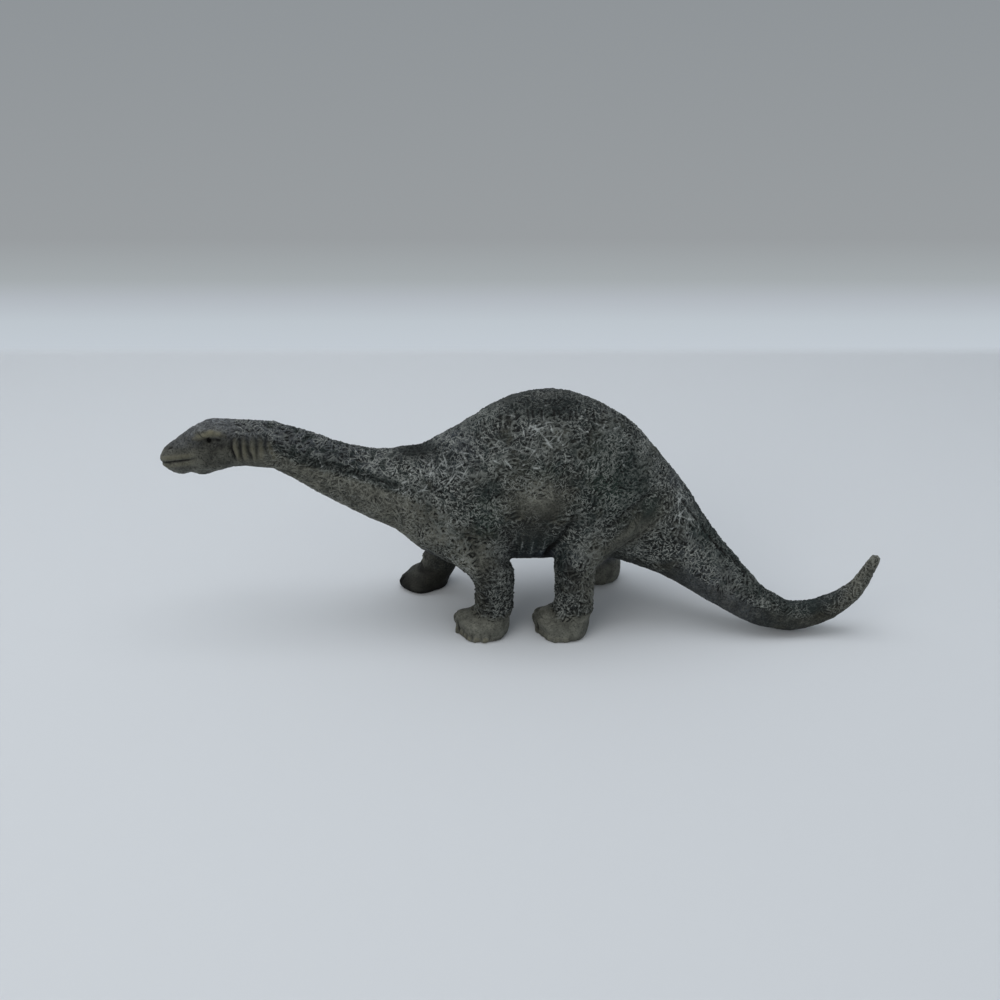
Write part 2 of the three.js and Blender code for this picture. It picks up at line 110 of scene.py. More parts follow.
# %% [markdown]
# The toy stands on a sweep: one sheet of pale paper that runs along the table and then curves up
# behind it. A floor and a wall would do too, but their corner would show as a line. The sheet is
# its profile, drawn out sideways.

# %% Paper sweep
SWEEP_FRONT = -1.2  # metres, as the next ones are
SWEEP_BACK = 0.48
SWEEP_BEND = 0.035  # the bend's radius
SWEEP_TOP = 1.4
SWEEP_HALF_WIDTH = 1.6


def paper_sweep():
    """The sheet's profile from front to top, drawn out sideways."""
    bend = []
    for degrees in range(0, 91, 10):
        turn = math.radians(degrees)
        back = SWEEP_BACK - SWEEP_BEND + SWEEP_BEND * math.sin(turn)
        bend.append((back, SWEEP_BEND - SWEEP_BEND * math.cos(turn)))
    line = [(SWEEP_FRONT, 0.0), *bend, (SWEEP_BACK, SWEEP_TOP)]
    points = [(x, y, z) for y, z in line for x in (-SWEEP_HALF_WIDTH, SWEEP_HALF_WIDTH)]
    faces = [(2 * i, 2 * i + 1, 2 * i + 3, 2 * i + 2) for i in range(len(line) - 1)]
    sheet = bpy.data.meshes.new("paper_sweep")
    sheet.from_pydata(points, [], faces)
    sheet.shade_smooth()
    return bpy.data.objects.new("paper_sweep", sheet)


sweep = paper_sweep()
sweep.rotation_euler.z = math.radians(LOOK_ASIDE)
bpy.context.scene.collection.objects.link(sweep)
print("paper sweep:", len(sweep.data.polygons), "faces")

# %% [markdown]
# Paper for photographs is uncoated and rolled flat, so it scatters light evenly and has no shine: a
# high roughness and hardly any specular. The wall part is seen straight by the camera only, so its
# grey is given as plain light there, and every other ray meets the matt paper. That grey pales
# towards the bend: painted light, for the room's light falling off up the wall. The table part
# stays real paper, because it has to catch the soft shadow.

# %% Matt paper
WALL_FOOT = 0.004  # metres; what lies lower is the table
GREYS_TOP = 0.32  # the wall's grey no longer changes above this
# painted light: the wall's greys, paler towards the bend, as the light falls off up the wall
WALL_FALLOFF_GREYS = [  # share of the way up to there, and colour
    (0.0, "#c3cbd3"),
    (0.075, "#bec6cd"),
    (0.14, "#b3b9c0"),
    (0.2, "#a5abae"),
    (0.32, "#999da0"),
    (1.0, "#8f9498"),
]


def matt_paper():
    """Matt paper. Seen straight, the wall part gives a grey that pales towards the bend: painted
    light, for the light falling off up the wall.
    """
    material, tree, output = new_material("matt_paper")
    place = add_node(tree, "ShaderNodeTexCoord")
    axes = add_node(tree, "ShaderNodeSeparateXYZ", links={0: place.outputs["Object"]})
    height = add_node(
        tree,
        "ShaderNodeMapRange",
        {"From Min": 0.0, "From Max": GREYS_TOP},
        {"Value": axes.outputs["Z"]},
    )
    wall = add_node(tree, "ShaderNodeValToRGB", links={"Fac": height.outputs["Result"]})
    for share, _ in WALL_FALLOFF_GREYS[1:-1]:
        wall.color_ramp.elements.new(share)
    for stop, (share, code) in zip(wall.color_ramp.elements, WALL_FALLOFF_GREYS):
        stop.position, stop.color = share, paint(code)
    matt = add_node(
        tree,
        "ShaderNodeBsdfPrincipled",
        {"Base Color": paint("#cfd3d6"), "Roughness": 0.9, "Specular IOR Level": 0.1},
    )
    seen = add_node(tree, "ShaderNodeEmission", links={"Color": wall.outputs["Color"]})
    ray = add_node(tree, "ShaderNodeLightPath")
    above = add_node(
        tree,
        "ShaderNodeMapRange",
        {"From Min": 0.0, "From Max": WALL_FOOT},
        {"Value": axes.outputs["Z"]},
    )
    shown = add_node(
        tree,
        "ShaderNodeMath",
        links={0: ray.outputs["Is Camera Ray"], 1: above.outputs["Result"]},
        operation="MULTIPLY",
    )
    both = add_node(
        tree,
        "ShaderNodeMixShader",
        links={0: shown.outputs[0], 1: matt.outputs[0], 2: seen.outputs[0]},
    )
    tree.links.new(both.outputs[0], output.inputs["Surface"])
    return material


sweep.data.materials.append(matt_paper())
print("wall greys:", [code for _, code in WALL_FALLOFF_GREYS])

# %% [markdown]
# The light is that of a room with a large window behind the viewer and a pale ceiling: nearly even,
# with shadows that are soft and close to the toy. One wide panel overhead and a pale sky all round
# give that. A second, weaker panel from the front left lifts the flank.

# %% Lamps and sky
AIM = Vector((0, 0, 0.05))  # the middle of the toy
SKY_STRENGTH = 0.6
PANELS = [  # name, place and size in metres, watts, colour
    ("ceiling", (-0.12, 0.34, 1.28), 1.5, 13.5, "#f8faff"),
    ("window", (-0.9, -1.1, 0.8), 1.0, 5.2, "#fffaf4"),
]
for name, place, size, watts, code in PANELS:
    lamp = bpy.data.lights.new(name, "AREA")
    lamp.shape = "SQUARE"
    lamp.size, lamp.energy, lamp.color = size, watts, paint(code)[:3]
    panel = bpy.data.objects.new(name, lamp)
    panel.location = place
    panel.rotation_euler = (AIM - Vector(place)).to_track_quat("-Z", "Y").to_euler()
    bpy.context.scene.collection.objects.link(panel)

sky = bpy.data.worlds.new("sky")
sky.use_nodes = True
sky.node_tree.nodes["Background"].inputs["Color"].default_value = paint("#eef1f5")
sky.node_tree.nodes["Background"].inputs["Strength"].default_value = SKY_STRENGTH
bpy.context.scene.world = sky
bpy.context.scene.view_settings.view_transform = "Standard"
print("lamps:", [p[0] for p in PANELS])

# %% [markdown]
# The real toy was sculpted as one animal in clay, and only then cut up for casting. The skin is
# made in the same order: copies of the seven solids are swollen until they close their seams, and a
# voxel remesh wraps them in one even net. A shrinkwrap could wrap them too, but it needs a net that
# is drawn by hand first.

# %% One skin over the seven castings
GROWTH = 0.3  # mm, enough to close the seams
VOXEL = 1.15  # mm
WELD = 1e-6  # metres; corners closer than this are one


def grown_copies():
    """All the castings in one mesh, each swollen a little."""
    together = bmesh.new()
    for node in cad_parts.values():
        part = bmesh.new()
        part.from_mesh(node.data)
        bmesh.ops.remove_doubles(part, verts=part.verts, dist=WELD)
        part.normal_update()
        for corner in part.verts:
            corner.co += corner.normal * GROWTH * MM
        copy = bpy.data.meshes.new("copy")
        part.to_mesh(copy)
        together.from_mesh(copy)
        bpy.data.meshes.remove(copy)
        part.free()
    mesh = bpy.data.meshes.new("castings")
    together.to_mesh(mesh)
    together.free()
    return mesh


def after_modifier(mesh, kind, **settings):
    """The mesh as it is after one modifier."""
    shape = bpy.data.objects.new("shape", mesh)
    bpy.context.scene.collection.objects.link(shape)
    modifier = shape.modifiers.new(kind.lower(), kind)
    for name, value in settings.items():
        setattr(modifier, name, value)
    graph = bpy.context.evaluated_depsgraph_get()
    made = bpy.data.meshes.new_from_object(shape.evaluated_get(graph))
    bpy.data.objects.remove(shape)
    return made


coarse = after_modifier(grown_copies(), "REMESH", mode="VOXEL", voxel_size=VOXEL * MM)
print("one net:", len(coarse.vertices), "points")

# %% [markdown]
# The net has small steps where the voxels were, and it shows the solids' facets. Plain smoothing
# would take them out and shrink the thin places, such as the end of the tail. So each round pulls
# every point towards its neighbours and then pushes it back a little further, which leaves the
# large forms alone. After that the growth comes off again. Numpy does this for all points at once,
# which is far quicker than a loop.

# %% Smooth net
EASING_ROUNDS = 30


def read(items, name, kind, width):
    """One value of all a mesh's points, edges, corners or faces, with a row for each."""
    found = np.empty(len(items) * width, kind)
    items.foreach_get(name, found)
    return found.reshape(-1, width)


def eased(places, edges, rounds, pull=0.5, push=-0.52):
    """The places after smoothing that doesn't shrink the shape."""
    a, b = edges.T
    count = len(places)
    degree = np.bincount(edges.ravel(), minlength=count)[:, None]
    for step in range(2 * rounds):
        sums = np.stack(
            [
                np.bincount(a, places[b, k], count) + np.bincount(b, places[a, k], count)
                for k in range(3)
            ],
            axis=1,
        )
        places = places + (pull if step % 2 == 0 else push) * (sums / degree - places)
    return places


def facing(places, quads):
    """The outward direction at each point."""
    first, second, third, fourth = (places[quads[:, c]] for c in range(4))
    square_on = np.cross(third - first, fourth - second)
    total = np.stack(
        [
            sum(np.bincount(quads[:, c], square_on[:, k], len(places)) for c in range(4))
            for k in range(3)
        ],
        axis=1,
    )
    return total / np.maximum(np.linalg.norm(total, axis=1, keepdims=True), 1e-12)


coarse_points = read(coarse.vertices, "co", np.float32, 3).astype(float) / MM
coarse_edges = read(coarse.edges, "vertices", np.int32, 2)
coarse_quads = read(coarse.loops, "vertex_index", np.int32, 1).reshape(-1, 4)
coarse_points = eased(coarse_points, coarse_edges, EASING_ROUNDS)
coarse_points -= GROWTH * facing(coarse_points, coarse_quads)
print("one skin:", len(coarse_points), "points,", len(coarse_quads), "faces")

# %% [markdown]
# One subdivision gives a net of about half a millimetre, fine enough to model skin in. Everything
# that the sculptor's tools do is then a lift: how far each point moves out along its own direction,
# or in. Lifts add up in one list, and the skin moves once at the end, so the order of the tools is
# free. A sculpt brush in Blender's window does the same, but a script can repeat its strokes
# exactly.

# %% Fine skin
coarse.vertices.foreach_set("co", (coarse_points * MM).ravel())
fine = after_modifier(coarse, "SUBSURF", levels=1, render_levels=1)
points = read(fine.vertices, "co", np.float32, 3).astype(float) / MM
edges = read(fine.edges, "vertices", np.int32, 2)
quads = read(fine.loops, "vertex_index", np.int32, 1).reshape(-1, 4)
outward = facing(points, quads)
surface = BVHTree.FromPolygons(points.tolist(), quads.tolist())
lift = np.zeros(len(points))  # mm along each point's own direction
pulled = np.zeros_like(points)  # mm along x, y and z
gaps = np.linalg.norm(points[edges[:, 0]] - points[edges[:, 1]], axis=1)
print("fine skin:", len(points), "points, about", round(float(gaps.mean()), 2), "mm apart")

# %% [markdown]
# It is easiest to say where a fold lies as it is seen from the side: an x along the body and a
# height. A ray from that side then finds the skin there. A line through a few such places is
# softened and laid on the skin, and every point near it learns how far off it is.

# %% Finding places on the skin
LEFT, RIGHT = -1, 1
BOTH = (LEFT, RIGHT)
NEARBY = 8  # mm, more than the ridge tool reaches


def soft_step(value, low, high):
    """0 at low, 1 at high, and a soft change between them."""
    t = np.clip((value - low) / (high - low), 0, 1)
    return t * t * (3 - 2 * t)


def on_flank(x, z, side):
    """The place on one side of the skin that a viewer square to that side sees at x and z."""
    found = surface.ray_cast(Vector((x, side * 100, z)), Vector((0, -side, 0)))[0]
    return np.array(found or surface.find_nearest(Vector((x, side * 30, z)))[0])


def on_skin(place):
    """The skin's point nearest to a place."""
    return np.array(surface.find_nearest(Vector(place))[0])


def drawn(stops, spacing=1.0):
    """Points close together along a soft line through the stops, all on the skin."""
    stops = np.array(stops, float)
    steps = np.linalg.norm(np.diff(stops, axis=0), axis=1)
    along = np.concatenate([[0], np.cumsum(steps)])
    wanted = np.linspace(0, along[-1], max(2, int(along[-1] / spacing) + 1))
    line = np.stack([np.interp(wanted, along, stops[:, k]) for k in range(3)], axis=1)
    for _ in range(3):
        line[1:-1] = (line[:-2] + 2 * line[1:-1] + line[2:]) / 4
    return np.array([on_skin(p) for p in line])


def away_from(line):
    """For the points near a line: which they are, how far off, and how far along, from 0 to 1."""
    inside = (points > line.min(0) - NEARBY) & (points < line.max(0) + NEARBY)
    near = np.flatnonzero(inside.all(axis=1))
    here = points[near]
    best = np.full(len(near), np.inf)
    share = np.zeros(len(near))
    spans = max(1, len(line) - 1)
    for i in range(spans):
        a, b = line[i], line[min(i + 1, len(line) - 1)]
        step = b - a
        t = np.clip((here - a) @ step / max(step @ step, 1e-9), 0, 1)
        off = np.linalg.norm(here - a - t[:, None] * step, axis=1)
        closer = off < best
        best[closer] = off[closer]
        share[closer] = (i + t[closer]) / spans
    return near, best, share


print("the back is at z =", round(float(on_skin((0, 0, 200))[2]), 1), "mm")


# %% [markdown]
# There are two tools. One draws a soft ridge or hollow along a line. The other grabs the skin round
# a place and pulls it along, for a form that has to lean out further. The first also marks where
# paint gathers: it then adds to another list than the lifts.

# %% The sculptor's tools
def sculpt(stops, reach, height, sides=BOTH, fade=0.25, target=None):
    """Raises a soft band along a line, or sinks it if the height is negative.

    A stop is x and z as seen on the flank, or a whole place. The band fades over a share of its
    length at each end. With a target, it is added to that list of paint and the skin doesn't move.
    """
    target = lift if target is None else target
    for side in sides:
        if len(stops[0]) == 2:
            line = drawn([on_flank(x, z, side) for x, z in stops])
        else:
            line = drawn([(x, side * abs(y), z) for x, y, z in stops])
        near, off, share = away_from(line)
        ends = soft_step(np.minimum(share, 1 - share), 0, fade) if fade else 1
        soft = np.clip(1 - (off / reach) ** 2, 0, 1) ** 2
        target[near] += height * soft * ends


def grab(place, reach, move, sides=BOTH):
    """Pulls the skin round a place along, most at the place itself and nothing beyond the reach."""
    for side in sides:
        off = np.linalg.norm(points - on_skin(np.array(place) * [1, side, 1]), axis=1)
        soft = np.clip(1 - (off / reach) ** 2, 0, 1) ** 2
        pulled[:] += soft[:, None] * move * [1, side, 1]


print("tools: sculpt and grab, on the sides", BOTH)

# %% [markdown]
# The large forms follow the animal under the skin. A deep crease parts the belly from the thigh,
# and a second one parts it from the upper foreleg. Two bands of muscle run from the thigh to the
# tail, shallow flutes lie over the last ribs, and folds run down from the shoulder and the chest. A
# sculptor blocks these in before any skin is worked, because they are what catches the light from a
# step away. The list also notes how much dark paint gathers in each crease, as wash and as painted
# shade there.

# %% Folds and muscles
# deep is dark paint: in the mouth and the eye, and in creases, clefts and hollows, where it is
# painted shade too
deep, horn, gloss, slate, streak = np.zeros((5, len(points)))  # where each kind of paint gathers
NECK_LINE = [  # the groove along the side of the neck
    (-126, 100), (-110, 92.5), (-94, 87.5), (-79, 83.5), (-69, 80.5), (-57, 77.5), (-45, 74),
]
RIBS = (-6.5, -2, 3.3, 9.0)  # x of each flute over a rib
FOLDS = [  # places as x and z on the flank in mm, reach, height, and share of dark paint
    ([(10, 36), (12, 44), (16, 53), (21, 63), (27, 74)], 3.8, -2.0, 0.7),
    ([(10, 40), (12, 46), (15, 52)], 3.4, -0.6, 0.9),
    ([(-9, 37), (-6, 47), (-8, 57), (-14, 67)], 3.8, -1.5, 0.5),
    ([(38, 50), (50, 57.5), (60, 66), (68, 71)], 3.2, 1.5, 0),
    ([(48, 48), (58, 54), (66, 60), (74, 66)], 2.8, 1.2, 0),
    ([(36, 58), (47, 67), (58, 73), (68, 77)], 3.2, -1.4, 0.5),
    ([(46, 47), (56, 53), (65, 60), (73, 66)], 1.6, -0.8, 0.4),
    ([(60, 48), (72, 52), (84, 56)], 3.0, -0.4, 0),
    ([(20, 44), (26, 56), (34, 66), (40, 78)], 6.0, 0.9, 0),
    ([(-47, 56), (-41, 47), (-35, 40), (-30, 34)], 3.4, -1.2, 0.3),
    ([(-38, 66), (-30, 50), (-24, 40), (-18, 30)], 5.0, 1.0, 0),
    ([(-64, 90), (-52, 86), (-38, 80), (-26, 70)], 4.2, 0.9, 0),
    ([(-56, 74), (-48, 66), (-44, 58)], 3.2, -0.8, 0.25),
    ([(-24, 72), (-16, 60), (-12, 48)], 4.0, 0.7, 0),
    (NECK_LINE, 3.4, -0.9, 0.35),
    ([(-118, 88), (-96, 80), (-76, 72), (-60, 64)], 4.0, 0.6, 0),
    ([(-112, 84), (-92, 74), (-74, 65)], 2.4, -0.4, 0.15),
    ([(-30, 104), (-10, 113), (12, 117), (34, 109), (58, 92)], 2.4, 0.6, 0),
]
for stops, reach, height, dark in FOLDS:
    sculpt(stops, reach, height)
    # the dark paint in each crease is partly painted shade
    if dark:
        sculpt(stops, 0.75 * reach, dark, target=deep)
sculpt(NECK_LINE, 5.5, 1.0, target=slate)
for rib_x in RIBS:  # a ridge, the hollow behind it, the dark in that and a pale line on the ridge
    sculpt([(rib_x - 1.0, 40), (rib_x, 52), (rib_x + 1.5, 64)], 1.3, 0.45)
    sculpt([(rib_x + 1.6, 40), (rib_x + 2.6, 52), (rib_x + 4, 64)], 1.4, -0.4)
    # painted shade in the hollow behind each rib
    sculpt([(rib_x + 1.6, 38), (rib_x + 2.6, 50), (rib_x + 4, 60)], 1.6, 0.4, target=deep)
    sculpt([(rib_x - 0.8, 42), (rib_x, 52), (rib_x + 1.2, 62)], 1.1, 0.42, fade=0.5, target=streak)
print("folds reach", round(float(lift.min()), 2), "to", round(float(lift.max()), 2), "mm")

# %% [markdown]
# The head is where a viewer looks first. It has a long mouth with a lip above and below it, a
# hollow for the eye and a raised, bumpy arch over it. Each is drawn with the same tool, in the
# order in which a sculptor cuts them. Lips and brow are noted for the painter, who gives them a
# horn colour.

# %% Face
MOUTH = [
    (-179, 0.6, 88.7),
    (-177, 4.2, 89.4),
    (-170, 6.0, 90.8),
    (-162, 7.0, 92.2),
    (-157.5, 7.6, 94.0),
]
BROW = [
    (-162, 7, 101.2),
    (-158.5, 7, 103.6),
    (-154.5, 6.8, 105),
    (-150.5, 6.8, 105.4),
    (-146, 7.8, 103.4),
]
BROW_BUMPS = [  # x and size
    (-160.2, 0.25), (-157.4, 0.3), (-154.6, 0.3), (-151.6, 0.6), (-148, 0.5), (-145.8, 0.2),
]
NOSTRIL = [(-173.2, 3.2, 96.3), (-171.8, 3.6, 96.6)]


def moved(stops, back, up):
    """The same line, further towards the tail and higher."""
    return [(x + back, y, z + up) for x, y, z in stops]


# the two lips, the cut between them and the dark in it
sculpt(moved(MOUTH, 0, 2.2), 1.8, 0.5, fade=0.2)
sculpt(moved(MOUTH, 0, -2.0), 1.6, 0.4, fade=0.2)
sculpt(MOUTH, 0.9, -0.7, fade=0.15)
sculpt(MOUTH, 0.75, 0.55, fade=0.3, target=deep)
sculpt(MOUTH[:4], 0.7, 0.5, fade=0.25, target=deep)
sculpt(moved(MOUTH, 0, 2.0), 2.1, 0.42, fade=0.3, target=horn)
sculpt(moved(MOUTH, 0, -1.8), 1.7, 0.28, fade=0.3, target=horn)
# the hollow of the eye, and the shade under the brow
sculpt([(-157.5, 8.5, 101.6), (-152.8, 8.8, 101.9), (-147.6, 8.8, 102.0)], 2.6, -1.1)
sculpt([(-156.5, 8.5, 102.4), (-152.8, 8.8, 102.7), (-147.4, 8.8, 102.8)], 1.6, 0.45, target=deep)
sculpt([(-148.6, 8.6, 102.3), (-147.6, 8.6, 102.3)], 1.1, 1.0, fade=0, target=deep)
for bump_x, size in BROW_BUMPS:
    at = np.interp(bump_x, [b[0] for b in BROW], [b[2] for b in BROW]) + 1.2 * size
    bump = [(bump_x - 0.5, 7, at), (bump_x + 0.5, 7, at)]
    sculpt(bump, 1.8, 1.25 * size, fade=0)
    sculpt(bump, 1.6, 0.8 * size, fade=0, target=horn)
sculpt(BROW, 2.0, 0.45, fade=0.15)
sculpt(moved(BROW, 0.5, -0.2), 2.6, 0.6, fade=0.45, target=horn)
# the chin, the lid under the eye, the nostril, the corner of the jaw and a line on the snout
grab((-172, 0, 80), 8, (0, 0, -1.5), sides=[LEFT])
sculpt([(-159.5, 8.2, 99.6), (-154, 8.8, 98.6), (-147.5, 8.8, 99.2)], 1.2, 0.4)
sculpt(NOSTRIL, 1.1, -0.6, fade=0)
sculpt(NOSTRIL, 0.9, 1.0, fade=0, target=deep)
sculpt([(-157.5, 7.8, 93.5), (-153.5, 8.6, 89), (-147, 8.6, 88)], 1.5, -0.5)
sculpt([(-166, 5.4, 98.6), (-160, 6.4, 99.4), (-156, 7.6, 98.6)], 1.3, -0.35)
print("lips and brow cover", int((horn > 0.1).sum()), "points")

# %% [markdown]
# Narrow folds ring the throat behind the jaw, where the neck bends. Each one further back is a
# little shallower, and each has a pale ridge behind its dark line. The eye is a low glossy ball
# that sits in the hollow. It could be a glass bead of its own, but on a toy like this it is cast
# with the head and varnished.

# %% Throat and eyes
THROAT_FOLDS = [  # x and sway
    (-142.2, 0.5), (-138.4, -0.3), (-134.2, 0.4), (-130.6, -0.5), (-125.4, 0.7),
]
EYE = np.array([-152.8, 8.4, 102.2])
EYE_RADIUS = 1.5  # mm
EYE_HEIGHT = 1.3

for k, (fold_x, sway) in enumerate(THROAT_FOLDS):
    fold = [
        (fold_x + 0.9, 4, 89),
        (fold_x + 0.5 + sway, 9.5, 93),
        (fold_x - sway, 9.5, 98),
        (fold_x + 0.3, 8, 102.5),
        (fold_x - 0.8, 7, 105.5),
    ]
    sculpt(fold, 1.4, -1.0 + 0.1 * k, fade=0.35)
    sculpt(moved(fold, 1.9, 0), 1.3, 0.4 - 0.04 * k, fade=0.35)
    sculpt(moved(fold, 2.1, 0), 2.0, 0.5 - 0.05 * k, fade=0.45, target=horn)
    sculpt(fold, 1.0, 0.85 - 0.1 * k, fade=0.45, target=deep)
for side in BOTH:
    off = np.linalg.norm(points - on_skin(EYE * [1, side, 1]), axis=1)
    ball = np.clip(1 - (off / EYE_RADIUS) ** 2, 0, 1)
    lift += EYE_HEIGHT * np.sqrt(ball)
    gloss = np.maximum(gloss, np.clip(4 * ball, 0, 1))
deep = np.clip(deep + gloss, 0, 1)
print("the eyes cover", int((gloss > 0).sum()), "points")

# %% [markdown]
# Each foot is a thick pad. Six low nails stand round the rim of its front and its outer side, with
# a groove on each side of every nail. The frame says where the soles are, so the nails follow the
# castings. The pad's corners are pulled out a little first, because the clay was pressed down
# there.

# %% Feet
NAIL_COUNT = 6
NAIL_TURN = 50  # degrees from straight ahead to the middle of the row
NAIL_SPREAD = 19  # degrees from nail to nail
NAIL_HALF_WIDTH = 1.4  # mm
NAIL_MIDDLE, NAIL_TOP = 1.6, 3.4  # mm above the ground
NAIL_REACH = 4  # mm in and out from the rim
NAIL_LIFT = 0.16
HIND_FIRMNESS = 0.4  # the hind nails are worn flat
SOLE_BAND = 4  # mm; what is lower belongs to the sole


def sole_of(name):
    """The middle of a foot on the ground, and half its length and width."""
    low = read(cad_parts[name].data.vertices, "co", np.float32, 3).astype(float) / MM
    low = low[low[:, 2] < SOLE_BAND, :2]
    return (low.min(0) + low.max(0)) / 2, (low.max(0) - low.min(0)) / 2


FEET = []  # middle, half sizes, side, firmness of the nails
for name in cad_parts:
    if "leg" in name:
        middle, half = sole_of(name)
        firm = 1.0 if "fore" in name else HIND_FIRMNESS
        FEET.append((middle, half, RIGHT if middle[1] > 0 else LEFT, firm))
for middle, half, side, firm in FEET:
    front = middle - half * [1, 0]
    # the outer and the inner front corner, and the outer side
    grab((front[0] + 1.5, abs(middle[1]) + 5.5, 2.5), 8.5, (2.6, -0.8, 0), sides=[side])
    grab((front[0] + 2.5, abs(middle[1]) - 6.5, 7), 7.5, (-1.8, -0.6, 0.6), sides=[side])
    grab((middle[0] + 8, abs(middle[1]) + half[1] - 3, 3), 8, (0.4, 1.4, 0), sides=[side])
    for k in range(2 * NAIL_COUNT + 1):  # the even ones are grooves, the odd ones nails
        turn = math.radians(180 - side * NAIL_TURN + side * (k - NAIL_COUNT) * NAIL_SPREAD / 2)
        heading = np.array([math.cos(turn), math.sin(turn), 0])
        rim = np.array([middle[0] + half[0] * heading[0], middle[1] + half[1] * heading[1], 0])
        if k % 2 == 0:
            gap = [tuple(rim - 1.2 * heading + [0, 0, up]) for up in (0.4, 2.5, 3.5 + 3 * firm)]
            sculpt(gap, 1.0, -0.5 * firm, sides=[side], fade=0.3)
            sculpt(gap, 0.8, 0.45 * firm, sides=[side], fade=0.4, target=deep)
            continue
        offset = points - rim
        aside = offset @ [-heading[1], heading[0], 0]
        upright = (points[:, 2] - NAIL_MIDDLE) / (NAIL_TOP - NAIL_MIDDLE)
        shape = (aside / NAIL_HALF_WIDTH) ** 4 + upright**4
        plate = np.clip(2.5 * (1 - shape), 0, 1) * (np.abs(offset @ heading) < NAIL_REACH)
        plate *= outward @ heading > 0.2
        lift += NAIL_LIFT * firm * plate
        horn = np.maximum(horn, 0.45 * firm * plate)
print("horn covers", int((horn > 0.3).sum()), "points of lips, brow and nails")

# %% [markdown]
# Three clefts split the front of each foot into toes, from the ground to the top of the pad. Above
# the foot the skin bunches in arched wrinkles, as it does on any heavy animal's ankle. Each wrinkle
# runs round the leg, so its middle is taken from the skin at that height.

# %% Toes and ankles
CLEFT_TURNS = (-8, 14, 34)  # degrees from straight ahead
ANKLE_WRINKLES = [(10.5, -0.35), (13.5, -0.6), (17, -0.5), (21.5, -0.45), (26, -0.4)]  # mm

for middle, half, side, _ in FEET:
    for degrees in CLEFT_TURNS:
        turn = math.radians(180 + side * degrees)
        heading = np.array([math.cos(turn), math.sin(turn), 0])
        rim = np.array([*(middle + half * heading[:2]), 0])
        cleft = [
            tuple(rim - back * heading + [0, 0, up]) for back, up in ((0.6, 1), (0.8, 5), (2.6, 9))
        ]
        sculpt(cleft, 1.5, -0.9, sides=[side], fade=0.3)
        sculpt(cleft, 1.2, 0.6, sides=[side], fade=0.3, target=deep)
    for up, height in ANKLE_WRINKLES:
        arc = [math.radians(180 + a) for a in range(-110, 111, 20)]
        reach_x, reach_y = 10.5 + 0.25 * (13.5 - min(up, 13.5)), 10.5
        # the points of this leg at this height, and their middle
        near = np.abs(points[:, 2] - up) < 1.5
        near &= (points[:, 1] * side > 0) & (np.abs(points[:, 0] - middle[0]) < 26)
        near &= np.abs(points[:, 1] - middle[1]) < 14
        hub = (points[near].min(0) + points[near].max(0)) / 2
        wrinkle = [
            (
                hub[0] + reach_x * math.cos(a),
                hub[1] + reach_y * math.sin(a),
                up + 1.6 * math.cos(2 * a + up),
            )
            for a in arc
        ]
        sculpt(wrinkle, 1.3, height, sides=[side], fade=0.3)
grab((-56, 14.5, 2), 10, (0, -2.4, 0), sides=[RIGHT])  # the far forefoot's inner toe
print("skin is pulled by up to", round(float(np.abs(pulled).max()), 1), "mm")

# %% [markdown]
# The skin itself is a mass of short wrinkles and raised fibres that lie across each other. They
# could be a bump pattern in the paint, but then their outline and their shadows would be missing,
# so they are modelled. Their size and number change over the body, so this cell first works out
# what kind of skin lies where. A list of soft round patches, seen from the side, and the way that
# the skin faces are enough for that. A slow noise makes some patches coarser, as a hand does. The
# face, the feet, the throat and the underside stay nearly plain.

# %% Kinds of skin
def blob(x, z, centre_x, centre_z, half_x, half_z):
    """A soft round patch on both flanks: 1 at its middle, and about a third at its half size."""
    return np.exp(-(((x - centre_x) / half_x) ** 2) - ((z - centre_z) / half_z) ** 2)


def slow_noise(size, salt):
    """Smooth noise from about -1 to 1 at every point, with features of the given size in mm."""
    offset = Vector((salt, 2 * salt, 3 * salt))
    return np.array([noise.noise(Vector(p) / size + offset) for p in points.tolist()])


TAIL_LINE = [  # the strokes end at this line, low on the tail
    (60, 44), (71, 41), (95, 28), (109, 22), (139, 12.5), (160, 15), (180, 28),
]
x, y, z = points.T
patch = slow_noise(11, 1.7)
lump = slow_noise(4.2, 5.1)
pebble = slow_noise(1.5, 8.3)
# parts of the animal, each 1 well inside it and 0 outside
under = soft_step(-outward[:, 2], 0.3, 0.8)
face = soft_step(-x, 134, 144)
crown = face * soft_step(outward[:, 2], 0.1, 0.7)
throat = soft_step(-x, 112, 134) * soft_step(-z, -109, -100)
neck_line = np.interp(x, *np.array(NECK_LINE).T)
below_neck = soft_step(neck_line - z, 0.5, 5) * soft_step(-x, 44, 58)
ankle = soft_step(2.5 * patch + 1.5 * lump - z, -17, -10) * (x < 80)  # with a ragged upper end
inner = soft_step(-outward[:, 1] * np.sign(y), 0.1, 0.5) * soft_step(-z, -38, -28) * (x < 75)
bands = blob(x, z - 0.65 * (x - 53), 53, 57.5, 19, 9)  # the muscles from thigh to tail
tail_line = np.interp(x, *np.array(TAIL_LINE).T)
tail_foot = soft_step(tail_line - z, -1, 3) * soft_step(x, 64, 74)
crest = blob(x, z, 9, 121, 38, 3.5)
